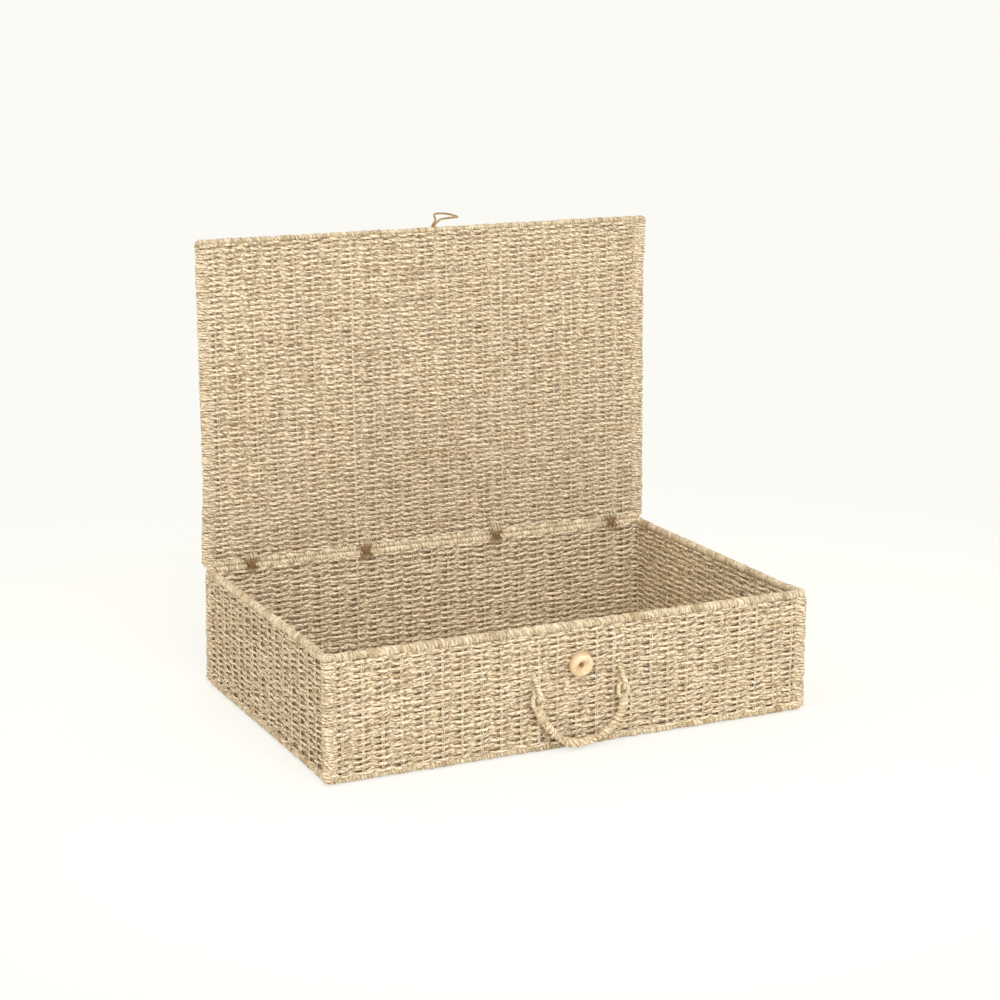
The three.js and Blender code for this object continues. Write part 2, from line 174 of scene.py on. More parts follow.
@dataclass(frozen=True)
class Seagrass(Finish):
    """Seagrass cord, twisted from dried leaf: matt straw colour with fibre streaks, painted shade
    in the creases between the plies, and greenish, bleached and rusty lengths."""

    name: str
    shade: str = "D6C2A0"
    body: str = "EAD8BC"
    light: str = "F2E3C8"
    green: str = "DCCFAC"
    bleached: str = "F4E6CE"
    rust: str = "E0C09E"
    bleach_and_painted_light: str = "F5E5C8"
    # Colour of painted shade: in the creases between plies and on cords set in shade.
    groove_shade: str = "8A622C"
    plies: int = 2
    groove_shade_depth: float = 0.45
    groove_share: float = 0.2
    streak_low: float = 0.38
    streak_tint: Vec = (1.04, 1.0, 0.9)
    patch_mm: float = 45.0
    tone_spread: float = 97.0
    # Single fibres are too fine to show, so this is the width of a folded leaf.
    fibre_mm: float = 1.3
    fibre_stretch: float = 3.0
    girth_mm: float = 12.0
    bump_mm: float = 0.7
    roughness: float = 0.7
    specular: float = 0.3

    def surface(self, tree: bpy.types.NodeTree) -> dict[str, Any]:
        """Draws the cord from its own length and twist.

        Args:
            tree: the material's node tree.

        Returns:
            What each input of the surface shader gets.
        """
        split = add_node(tree, "SeparateXYZ", {0: add_node(tree, "UVMap", uv_map="strand")})
        along, twist = split.outputs[0], split.outputs[1]
        tone = add_node(tree, "Attribute", attribute_name="tone").outputs["Fac"]
        # The pale attribute carries real bleaching and painted light above 0, and painted shade
        # below 0.
        pale = add_node(tree, "Attribute", attribute_name="pale").outputs["Fac"]
        scales = {
            "patch": (along, 1 / (self.patch_mm * MM)),
            "cord": (tone, self.tone_spread),
            "fibre_round": (twist, self.girth_mm / self.fibre_mm),
            "fibre_along": (along, 1 / (self.fibre_stretch * self.fibre_mm * MM)),
            "plies": (twist, float(self.plies)),
            "shaded": (pale, -1.0),
        }
        scaled = {
            name: add_node(tree, "Math", {0: source, 1: scale}, operation="MULTIPLY")
            for name, (source, scale) in scales.items()
        }

        # Lengths of different leaf follow each other along a cord. Whole cords with a positive pale
        # share mix towards the pale colour, which is real bleaching on the ties and painted light
        # elsewhere, and those with a negative share mix towards the shade colour as painted shade.
        patch_at = add_node(tree, "CombineXYZ", {0: scaled["patch"], 1: scaled["cord"]})
        patch = add_node(tree, "TexNoise", {0: patch_at, "Scale": 1.0, "Detail": 1.5})
        stops = ((0.30, self.shade), (0.44, self.body), (0.54, self.body), (0.70, self.light))
        colour = add_node(tree, "ValToRGB", {0: patch}, stops)
        kinds = add_node(tree, "SeparateColor", {0: patch.outputs["Color"]})
        tints = (
            (self.green, 0.56, 0.68, 0.36),
            (self.bleached, 0.68, 0.76, 0.6),
            (self.rust, 0.64, 0.74, 0.25),
        )
        layers = []
        for kind, (code, low, high, most) in zip(kinds.outputs, tints):
            span = {"Value": kind, "From Min": low, "From Max": high, "To Max": most}
            layers.append((add_node(tree, "MapRange", span), code))
        for share, code in (*layers, (pale, self.bleach_and_painted_light), (scaled["shaded"], self.groove_shade)):
            inputs = {0: share, 6: colour, 7: linear_colour(code)}
            colour = add_node(tree, "Mix", inputs, data_type="RGBA")

        # Fibres run with the twist, and the crease that parts the plies is darkened towards the
        # shade colour as painted shade.
        fibre_at = {0: scaled["fibre_round"], 1: scaled["fibre_along"], 2: scaled["cord"]}
        fibre_at = add_node(tree, "CombineXYZ", fibre_at)
        fibre = add_node(tree, "TexNoise", {0: fibre_at, "Scale": 1.0, "Detail": 2.0})
        clear = add_node(tree, "MapRange", {"Value": fibre, "From Min": 0.4, "From Max": 0.53})
        dark = (*(self.streak_low * part for part in self.streak_tint), 1.0)
        white = (1.0, 1.0, 1.0, 1.0)
        streak = add_node(tree, "Mix", {0: clear, 6: dark, 7: white}, data_type="RGBA")
        inputs = {0: 1.0, 6: colour, 7: streak}
        colour = add_node(tree, "Mix", inputs, data_type="RGBA", blend_type="MULTIPLY")
        # Painted shade: the ply crease is mixed towards the shade colour.
        ply = add_node(tree, "Math", {0: scaled["plies"], 1: 0.5}, operation="PINGPONG")
        span = {"Value": ply, "From Min": 0.0, "From Max": self.groove_share}
        crown = add_node(tree, "MapRange", span, interpolation_type="SMOOTHSTEP")
        depth = {0: crown, 1: -self.groove_shade_depth, 2: self.groove_shade_depth}
        depth = add_node(tree, "Math", depth, operation="MULTIPLY_ADD")
        inputs = {0: depth, 6: colour, 7: linear_colour(self.groove_shade)}
        colour = add_node(tree, "Mix", inputs, data_type="RGBA")
        height = add_node(tree, "Math", {0: fibre, 1: 0.5, 2: crown}, operation="MULTIPLY_ADD")
        relief = {"Strength": 0.8, "Distance": self.bump_mm * MM, "Height": height}
        return {
            "Base Color": colour,
            "Normal": add_node(tree, "Bump", relief),
            "Roughness": self.roughness,
            "Specular IOR Level": self.specular,
        }


@dataclass(frozen=True)
class TurnedWood(Finish):
    """Pale rubberwood turned on a lathe and oiled: fine grain lines along the blank, a soft shine,
    amber where the oil has sunk in and at the outer edge, and amber painted shade round the hole."""

    name: str = "oiled_rubberwood_turned"
    pale: str = "E6D2B0"
    grain: str = "D8BE94"
    amber: str = "BC9A6A"
    grain_mm: float = 1.3
    grain_stretch: float = 0.12
    grain_tilt: float = 0.5
    soaks_per_metre: float = 60.0
    bump_mm: float = 0.1
    roughness: float = 0.42

    def surface(self, tree: bpy.types.NodeTree) -> dict[str, Any]:
        """Draws the grain from the button's own place.

        Args:
            tree: the material's node tree.

        Returns:
            What each input of the surface shader gets.
        """
        where = add_node(tree, "TexCoord").outputs["Object"]
        scale = 1 / (self.grain_mm * MM)
        stretch = (self.grain_stretch * scale, scale, scale)
        blank = {0: where, "Scale": stretch, "Rotation": (0.0, self.grain_tilt, 0.0)}
        blank = add_node(tree, "Mapping", blank)
        lines = add_node(tree, "TexNoise", {0: blank, "Scale": 1.0, "Detail": 3.0})
        grain = add_node(tree, "ValToRGB", {0: lines}, ((0.38, self.grain), (0.62, self.pale)))
        oil = {0: where, "Scale": self.soaks_per_metre, "Detail": 1.0}
        oil = add_node(tree, "TexNoise", oil)
        share = {"Value": oil, "From Min": 0.5, "From Max": 0.75, "To Max": 0.7}
        share = add_node(tree, "MapRange", share)
        # edge: amber at the outer edge, and painted shade round the hole.
        edge = add_node(tree, "Attribute", attribute_name="edge").outputs["Fac"]
        amber_and_hole_shade = add_node(tree, "Math", {0: share, 1: edge}, operation="MAXIMUM")
        inputs = {0: amber_and_hole_shade, 6: grain, 7: linear_colour(self.amber)}
        relief = {"Strength": 0.25, "Distance": self.bump_mm * MM, "Height": lines}
        return {
            "Base Color": add_node(tree, "Mix", inputs, data_type="RGBA"),
            "Normal": add_node(tree, "Bump", relief),
            "Roughness": self.roughness,
        }


@dataclass(frozen=True)
class DrawnSteel(Finish):
    """Bright drawn steel wire: a metal whose shine is broken by dull grey patches."""

    name: str = "drawn_steel_wire"
    bright: str = "A6A49D"
    dull: str = "7F7D77"
    patch_mm: float = 6.0
    roughness: float = 0.42

    def surface(self, tree: bpy.types.NodeTree) -> dict[str, Any]:
        """Draws the wire's patchy shine.

        Args:
            tree: the material's node tree.

        Returns:
            What each input of the surface shader gets.
        """
        where = add_node(tree, "TexCoord").outputs["Object"]
        patch = {0: where, "Scale": 1 / (self.patch_mm * MM), "Detail": 3.0}
        patch = add_node(tree, "TexNoise", patch)
        ramp = add_node(tree, "ValToRGB", {0: patch}, ((0.35, self.dull), (0.65, self.bright)))
        return {"Base Color": ramp, "Metallic": 1.0, "Roughness": self.roughness}


class Slot(Enum):
    """The record's material slots."""

    WEAVE = "seagrass_weave"
    ROPE = "seagrass_rope"
    WIRE = "steel_wire"
    LASHING = "lashing_cord"
    WOOD = "button_wood"
    LOOP = "loop_cord"


FINISHES: dict[Slot, Finish] = {
    Slot.WEAVE: Seagrass("twined_seagrass"),
    # Cord for rope: paler than the weave, with softer streaks; the paleness is partly the cord's
    # own colour and partly painted highlight.
    Slot.ROPE: Seagrass(
        "seagrass_rope", shade="D8C49E", body="EAD9B8", light="F7E9CF", streak_low=0.48,
        patch_mm=60.0,
    ),
    Slot.WIRE: DrawnSteel(),
    # Brown cord, rubbed pale in places, with short lengths of each shade.
    Slot.LASHING: Seagrass(
        "brown_lashing_cord", shade="8E6A44", body="AE875A", light="EBD9B8", green="A0855A",
        bleached="DCC29A", rust="A0724A", bleach_and_painted_light="EBD9B8", groove_shade="6A4A2A", groove_shade_depth=0.4,
        patch_mm=9.0,
    ),
    Slot.WOOD: TurnedWood(),
    # Thin jute cord: an even light brown.
    Slot.LOOP: Seagrass(
        "jute_loop_cord", shade="9C7A52", body="BE9C70", light="D8BC94", green="B0A078",
        bleached="E2CCB0", rust="C8966C", groove_shade="7A5C38", patch_mm=9.0,
    ),
}
# Cord drawn tight round a rod: greyer and smoother than in the weave.
WOUND_FINISH = Seagrass(
    "wound_seagrass_cord", shade="C1AC88", body="D7C6A9", light="ECDEC4", groove_shade_depth=0.3,
    streak_low=0.52, patch_mm=60.0,
)


def add_object(name: str, data: bpy.types.ID) -> bpy.types.Object:
    """Puts an object into the scene.

    Args:
        name: its name.
        data: its mesh, lamp or camera.

    Returns:
        The object.
    """
    item = bpy.data.objects.new(name, data)
    bpy.context.scene.collection.objects.link(item)
    return item


class SubAssembly:
    """A part of the box that builds its meshes and dresses them."""

    def dress(
        self,
        piece: bpy.types.Object,
        body: str,
        slot: Slot,
        nodes: Sequence[str],
        finish: Finish | None = None,
    ) -> None:
        """Gives a piece its finish and body, and hides the solids that it stands for.

        Args:
            piece: the mesh object.
            body: the body that it rides on.
            slot: the record's slot.
            nodes: the solids that it stands for.
            finish: a finish other than the slot's own.
        """
        piece.data.materials.append((finish or FINISHES[slot]).material())
        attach(piece, body)
        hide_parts(*nodes)
        LOG.info("%s on %s, %d faces", piece.name, body, len(piece.data.polygons))


def wander(rng: np.random.Generator, count: int, length: float, steps: int, reach: float) -> Array:
    """Draws smooth random curves about 0, one for each cord.

    Args:
        rng: the seeded source.
        count: how many curves.
        length: the cords' length.
        steps: points along each cord.
        reach: the length over which a curve changes.

    Returns:
        An array of count by steps.
    """
    knots = math.ceil(length / reach) + 3
    values = rng.normal(size=(count, knots))
    at = np.linspace(0, length / reach, steps)
    low = at.astype(int)
    share = at - low
    share = share * share * (3 - 2 * share)
    return values[:, low] * (1 - share) + values[:, low + 1] * share


def unit(vectors: Array) -> Array:
    """Scales vectors to length 1."""
    return vectors / np.linalg.norm(vectors, axis=-1, keepdims=True)


def ring_quads(near: Whole, far: Whole, sides: int) -> Whole:
    """Joins rings of points with quads.

    Args:
        near: number of each ring's first point, with a last axis of 1.
        far: the same for the ring that it is joined to.
        sides: points in a ring.

    Returns:
        The quads' points, with a last axis of 4.
    """
    column = np.arange(sides)
    after = (column + 1) % sides
    return np.stack([near + column, near + after, far + after, far + column], axis=-1)


class CordBundle:
    """Cords gathered into one mesh. Each is a closed tube that knows its length, twist and tone."""

    # How far a laid cord's twist wanders, in turns, and over what length.
    TWIST_SLIP = 0.2
    TWIST_REACH = 25.0
    # Cords start at different places, in metres, of the pattern along them.
    PATTERN_LENGTH = 40

    def __init__(self, sides: int, rng: np.random.Generator) -> None:
        """Starts an empty bundle.

        Args:
            sides: how many sides its tubes have.
            rng: the seeded source.
        """
        self.sides = sides
        self.rng = rng
        self.points: list[Array] = []
        self.faces: list[Whole] = []
        self.maps: list[Array] = []
        self.tones: list[Array] = []
        self.pales: list[Array] = []
        self.count = 0

    def uneven(self, share: float, length: float, steps: int, reach: float) -> Array:
        """Draws one cord's unevenness.

        Args:
            share: its usual size.
            length: the cord's length.
            steps: points along the cord.
            reach: the length over which it changes.

        Returns:
            One value for each step.
        """
        return share * wander(self.rng, 1, length, steps, reach)[0]

    def add(
        self,
        lines: Array,
        up: Array | Vec,
        thick: Array | float,
        wide: Array | float,
        pale: Array | float = 0.0,
        closed: bool = False,
        lay: float = 0.0,
        lobe: float = 0.0,
    ) -> None:
        """Adds cords of one length.

        Args:
            lines: centre lines, cords by steps by 3.
            up: the direction in which thick is measured, of a shape that spreads over lines.
            thick: half the cord's size along up, of a shape that spreads over cords by steps.
            wide: half its size across up.
            pale: how far the cord is bleached or lightened with painted light, 0 to 1, or darkened
                with painted shade, 0 to -1.
            closed: whether the cord's end joins its start.
            lay: length of one turn of two plies, or 0 for straight ones.
            lobe: depth of the crease between the plies, as a share of the radius.
        """
        cords, steps, _ = lines.shape
        if closed:
            ahead = np.roll(lines, -1, axis=1) - np.roll(lines, 1, axis=1)
        else:
            ahead = np.gradient(lines, axis=1)
        ahead = unit(ahead)
        side = unit(np.cross(ahead, np.broadcast_to(up, lines.shape)))
        lift = np.cross(side, ahead)
        gaps = np.linalg.norm(np.diff(lines, axis=1), axis=2)
        length = np.concatenate([np.zeros((cords, 1)), np.cumsum(gaps, axis=1)], axis=1)
        thick, wide, pale = (
            np.broadcast_to(np.asarray(size, float), (cords, steps)) for size in (thick, wide, pale)
        )
        phase = self.twist(lines, length, closed, lay)
        turn = np.arange(self.sides) / self.sides
        swell = 1 - lobe * (1 - np.abs(np.sin(TAU * (turn + phase[:, :steps, None]))))
        # The tube's seam lies on its side, out of sight between neighbours.
        angle = TAU * turn + math.pi / 2
        ring = (
            lift[:, :, None, :] * (np.cos(angle) * swell * thick[:, :, None])[..., None]
            + side[:, :, None, :] * (np.sin(angle) * swell * wide[:, :, None])[..., None]
        )
        self.points.append((lines[:, :, None, :] + ring).reshape(-1, 3))

        # Quads run along each cord, and one face closes each end.
        spans = steps if closed else steps - 1
        row = np.arange(spans)[None, :, None]
        cord = np.arange(cords)[:, None, None] * steps
        near, far = (cord + row) * self.sides, (cord + (row + 1) % steps) * self.sides
        quads = ring_quads(near, far, self.sides)
        start = self.rng.uniform(0, self.PATTERN_LENGTH, cords)[:, None, None]
        metres = length * MM
        low = np.broadcast_to(metres[:, :spans, None] + start, quads.shape[:3])
        step = np.diff(metres, axis=1)
        step = np.concatenate([step, step[:, -1:]], axis=1)[:, :spans, None]
        high = low + step
        near_left = turn + phase[:, :spans, None]
        far_left = turn + phase[:, 1 : spans + 1, None]
        width = 1 / self.sides
        across = np.stack([near_left, near_left + width, far_left + width, far_left], axis=-1)
        lengthwise = np.stack([low, low, high, high], axis=-1)
        self.faces.append(quads.reshape(-1, 4) + self.count)
        self.maps.append(np.stack([lengthwise, across], axis=-1).reshape(-1, 2))
        if not closed:
            column = np.arange(self.sides)
            first = np.arange(cords)[:, None] * steps * self.sides
            last = first + (steps - 1) * self.sides
            ends = ((first, column[::-1], low[:, 0, 0]), (last, column, high[:, -1, 0]))
            for begin, order, distance in ends:
                self.faces.append(begin + order + self.count)
                round_end = np.tile(order / self.sides, cords)
                self.maps.append(np.stack([np.repeat(distance, self.sides), round_end], axis=-1))
        tone = self.rng.uniform(0, 1, cords)
        self.tones.append(np.repeat(tone, steps * self.sides))
        self.pales.append(np.repeat(pale.ravel(), self.sides))
        self.count += cords * steps * self.sides

    def twist(self, lines: Array, length: Array, closed: bool, lay: float) -> Array:
        """Says how far the plies have turned along each cord.

        Args:
            lines: centre lines, cords by steps by 3.
            length: distance along each cord, cords by steps.
            closed: whether a cord's end joins its start.
            lay: length of one turn, or 0 for none.

        Returns:
            Turns, cords by steps and one more step where a closed cord meets itself.
        """
        cords, steps = length.shape
        if not lay:
            return np.zeros((cords, steps + 1))
        gap = np.linalg.norm(lines[:, 0] - lines[:, -1], axis=1, keepdims=True) if closed else 0.0
        whole = length[:, -1:] + gap
        reach = np.concatenate([length, whole * np.ones((cords, 1))], axis=1)
        if closed:
            return reach / whole * np.round(2 * whole / lay) / 2
        slip = wander(self.rng, cords, float(whole.max()), steps + 1, self.TWIST_REACH)
        return reach / lay + self.TWIST_SLIP * slip

    def mesh(self, name: str) -> bpy.types.Object:
        """Makes the bundle's object.

        Args:
            name: the piece's name.

        Returns:
            The mesh object, in the scene.
        """
        mesh = bpy.data.meshes.new(name)
        points = np.concatenate(self.points) * MM
        corners = np.concatenate([f.ravel() for f in self.faces])
        totals = np.concatenate([np.full(len(f), f.shape[1]) for f in self.faces])
        mesh.vertices.add(len(points))
        mesh.vertices.foreach_set("co", points.astype(np.float32).ravel())
        mesh.loops.add(len(corners))
        mesh.loops.foreach_set("vertex_index", corners.astype(np.int32))
        mesh.polygons.add(len(totals))
        mesh.polygons.foreach_set("loop_start", (np.cumsum(totals) - totals).astype(np.int32))
        mesh.polygons.foreach_set("use_smooth", np.ones(len(totals), bool))
        mesh.update(calc_edges=True)
        layer = mesh.uv_layers.new(name="strand")
        layer.uv.foreach_set("vector", np.concatenate(self.maps).astype(np.float32).ravel())
        for label, values in (("tone", self.tones), ("pale", self.pales)):
            attribute = mesh.attributes.new(label, "FLOAT", "POINT")
            attribute.data.foreach_set("value", np.concatenate(values).astype(np.float32))
        return add_object(name, mesh)


@dataclass(frozen=True)
class Plane:
    """A flat place in the model: an origin and two directions in it."""

    origin: Vec
    along: Vec
    across: Vec

    @property
    def normal(self) -> Array:
        """The direction out of the plane."""
        return np.cross(np.asarray(self.along), np.asarray(self.across))

    def place(self, along: Array, across: Array, out: Array | float = 0.0) -> Array:
        """Turns distances in the plane and out of it into points.

        Args:
            along: distance along the first direction.
            across: distance along the second direction.
            out: distance along the plane's normal.

        Returns:
            Points, with a last axis of 3.
        """
        u, v, w = (part[..., None] for part in np.broadcast_arrays(along, across, out))
        first, second = np.asarray(self.along), np.asarray(self.across)
        return np.asarray(self.origin) + u * first + v * second + w * self.normal


@dataclass
class TwinedPanel(SubAssembly):
    """A panel of twined seagrass: two strands a row, which turn round each other by half a turn
    between neighbouring stakes."""

    name: str
    node: str
    body: str
    plane: Plane
    half_length: float
    height: float
    rows: int
    stakes: Sequence[float]
    wired: Sequence[float] = ()
    lap: tuple[float, float] = (4.5, 2.5)
    # The strands: their radius, how they swing in and out and rise and fall round the stakes, how
    # much wider they are on a stake and between stakes, and their twist.
    strand: float = 2.2
    swing: float = 3.0
    rise: float = 1.35
    swell: float = 0.14
    fill: float = 0.24
    lay: float = -65.0
    lobe: float = 0.4
    # How far the rows are painted paler, as painted light.
    row_painted_light: float = 0.0
    # How far rows and strands stray, and the lengths over which they do.
    uneven: float = 0.3
    sag: float = 0.1
    drift: float = 0.06
    tightness: float = 0.06
    slack: float = 0.1
    thinning: float = 0.1
    edge_swing: float = 0.3
    edge_reach: float = 4.0
    drift_reach: float = 16.0
    turn_reach: float = 20.0
    width_reach: float = 11.0
    # The stakes, which are thicker where cords lie round a wire, and painted paler, more so at a
    # wire, as painted light against the shade of the gaps between rows.
    stake: float = 0.95
    stake_out: float = 2.9
    stake_painted_light: float = 0.4
    stake_lay: float = 13.0
    stake_step: float = 4.0
    stake_end: float = 2.0
    stake_margin: float = 3.0
    stake_drift: float = 0.2
    stake_reach: float = 15.0
    stake_lobe: float = 0.1
    wired_swell: float = 1.1
    wired_out: float = 2.4
    wired_painted_light: float = 0.55
    # The strands that close the gaps between rows, darkened as painted shade: half their width, how
    # flat they are and how dark their painted shade is.
    packing: float = 2.5
    packing_flat: float = 0.4
    packing_painted_shade: float = 0.5
    step: float = 2.5
    sides: int = 8
    bands: int = 1
    seed: int = 1

    def wave(self, u: Array, level: Array, along: float, up: float, shift: float = 0.0) -> Array:
        """Draws a slow wave over the panel, from its reach in mm along and up it."""
        return np.sin(u / along + level / up + shift * self.seed)

    def middles(self, rows: Array, u: Array) -> Array:
        """Says how high each row lies: the rows wander together, and lap over the borders.

        Args:
            rows: the rows' numbers.
            u: distances along a row.

        Returns:
            Heights, rows by steps.
        """
        low, high = self.lap
        pitch = (self.height + low + high) / self.rows
        level = (rows + 0.5)[:, None] * pitch - low
        sag = self.wave(u, level, 83, 61, 1) + 0.8 * self.wave(u, level, 37, -45, 2.1)
        edge = np.minimum(level, self.height - level) / self.height
        return level + self.sag * pitch * sag * np.clip(6 * edge, 0, 1)

    def add_rows(self, bundle: CordBundle, rows: Array, u: Array) -> None:
        """Adds the two strands of some rows.

        Args:
            bundle: the mesh that they go in.
            rows: the rows' numbers.
            u: distances along a row.
        """
        phase = np.interp(u, self.stakes, np.arange(len(self.stakes)) * math.pi)
        spread = bundle.rng, len(rows), 2 * self.half_length, len(u)
        level = self.middles(rows, u)
        slow = self.wave(u, level, 55, 23, 3)
        tight = 1 + self.tightness * slow * self.wave(u, level, 91, -37)
        border = np.minimum(level, self.height - level)
        over = 1 + self.edge_swing * np.clip(1 - border / self.edge_reach, 0, 1)
        drift = self.drift * self.height / self.rows * wander(*spread, self.drift_reach)
        for strand in range(2):
            angle = phase + math.pi * (rows[:, None] + strand)
            angle = angle + self.uneven * wander(*spread, self.turn_reach)
            loose = 1 + self.slack * wander(*spread, self.turn_reach)
            out = self.swing * over * loose * np.cos(angle)
            # The strands lie level over a stake and change places between stakes, where they
            # fill the row.
            climb = np.sin(angle) * (0.45 + 0.55 * np.sin(angle) ** 2)
            lines = self.plane.place(u, level + drift + self.rise * climb, out)
            thin = self.thinning * wander(*spread, self.width_reach)
            radii = self.strand * tight * (1 + thin)
            swell = self.swell * np.abs(np.cos(angle))
            wide = radii * (1 + swell + self.fill * np.abs(np.sin(angle)))
            normal = self.plane.normal
            bundle.add(lines, normal, radii, wide, self.row_painted_light, lay=self.lay, lobe=self.lobe)

    def add_shade_strands(self, bundle: CordBundle, u: Array) -> None:
        """Adds the strands that close the gaps between rows, darkened as painted shade.

        Args:
            bundle: the mesh that they go in.
            u: distances along a row.
        """
        lines = self.plane.place(u, self.middles(np.arange(self.rows - 1) + 0.5, u))
        flat = self.packing_flat * self.packing
        bundle.add(lines, self.plane.normal, flat, self.packing, -self.packing_painted_shade)

    def add_stakes(self, bundle: CordBundle) -> None:
        """Adds the upright stakes.

        Args:
            bundle: the mesh that they go in.
        """
        steps = max(8, round(self.height / self.stake_step))
        v = np.linspace(-self.stake_end, self.height + self.stake_end, steps)
        inside = self.half_length - self.stake_margin
        for u in (u for u in self.stakes if abs(u) < inside):
            # pale here is painted light that lifts the stakes out of the shade of the gaps.
            radius, out, pale, ring = self.stake, self.stake_out, self.stake_painted_light, []
            # Cords lie all round a wire, and a bare stake has a pair on each face.
            if any(abs(u - place) < 2 for place in self.wired):
                radius = self.stake * self.wired_swell
                out, pale = max(out, self.wired_out), max(pale, self.wired_painted_light)
                ring = [(0, 1), (0, -1), (-2, 0), (2, 0)]
            for side, face in [(-1, 1), (1, 1), (-1, -1), (1, -1), *ring]:
                drift = bundle.uneven(self.stake_drift, self.height, steps, self.stake_reach)
                line = self.plane.place(u + side * radius + drift, v, face * out + drift)
                bundle.add(
                    line[None], self.plane.normal, radius, radius, pale, lay=self.stake_lay,
                    lobe=self.stake_lobe,
                )

    def build(self) -> None:
        """Builds the panel's bands of rows and its stakes."""
        rng = np.random.default_rng(self.seed)
        steps = round(2 * self.half_length / self.step) + 1
        u = np.linspace(-self.half_length, self.half_length, steps)
        stakes = CordBundle(sides=6, rng=rng)
        self.add_stakes(stakes)
        self.add_shade_strands(stakes, u[::3])
        for number, rows in enumerate(np.array_split(np.arange(self.rows), self.bands), 1):
            bundle = CordBundle(self.sides, rng)
            self.add_rows(bundle, rows, u)
            label = f"{self.name}_rows" if self.bands == 1 else f"{self.name}_rows_{number}"
            self.dress(bundle.mesh(label), self.body, Slot.WEAVE, [self.node])
        self.dress(stakes.mesh(f"{self.name}_stakes"), self.body, Slot.WEAVE, [self.node])


def resample(path: Array, gap: float) -> tuple[Array, Array]:
    """Spaces a path's points evenly.

    Args:
        path: points by 3.
        gap: about how far apart the new points are.

    Returns:
        The new points and their distances along the path.
    """
    gaps = np.linalg.norm(np.diff(path, axis=0), axis=1)
    at = np.concatenate([[0], np.cumsum(gaps)])
    new = np.linspace(0, at[-1], max(4, round(at[-1] / gap) + 1))
    return np.stack([np.interp(new, at, path[:, k]) for k in range(3)], axis=1), new


@dataclass
class Winding:
    """A cord wound round a rod, turn against turn."""

    path: Array
    bend_normal: Vec | Array
    outer: float
    pitch: float
    cord: float
    turn_steps: int = 13
    rough: float = 1.0
    lap: float = 0.52
    lay: float = 60.0
    # How far the cord is painted paler, as painted light against the shade where it lies.
    pale: float = 0.0
    deepen: float = 0.0
    # No turn is so narrow that the rod shows beside it.
    narrowest: float = 0.87

    def add_to(self, bundle: CordBundle) -> None:
        """Adds the winding's cord.

        Args:
            bundle: the mesh that it goes in.
        """
        fine, run = resample(self.path, gap=0.3)
        # Round a bend the turns lie closer, so that they still cover its outer side.
        bend = np.linalg.norm(np.gradient(unit(np.gradient(fine, axis=0)), run, axis=0), axis=1)
        wound = np.concatenate([[0], np.cumsum(np.diff(run) * (1 + self.outer * bend[1:]))])
        at = np.linspace(0, wound[-1], round(wound[-1] / self.pitch * self.turn_steps) + 1)
        points = np.stack([np.interp(at, wound, fine[:, k]) for k in range(3)], axis=1)
        ahead = unit(np.gradient(points, axis=0))
        flat = np.broadcast_to(np.asarray(self.bend_normal, float), points.shape)
        out = unit(np.cross(flat, ahead))
        flat = np.cross(ahead, out)
        # Each is drawn from its usual size and the turns over which it changes.
        slip, thick, narrow, sunk = (
            bundle.uneven(share * self.rough, at[-1], len(points), turns * self.pitch)
            for share, turns in ((0.6, 2.5), (0.16, 1.2), (0.16, 1.4), (0.22, 1.1))
        )
        angle = TAU * (at / self.pitch) + slip
        wide = self.lap * self.pitch * np.maximum(1 + narrow, self.narrowest)
        reach = self.outer - self.cord + sunk
        radial = np.cos(angle)[:, None] * out + np.sin(angle)[:, None] * flat
        line = points + reach[:, None] * radial + self.deepen * np.sin(angle)[:, None] * flat
        thick = self.cord * (1 + thick)
        bundle.add(line[None], radial[None], thick, wide, self.pale, lay=self.lay)


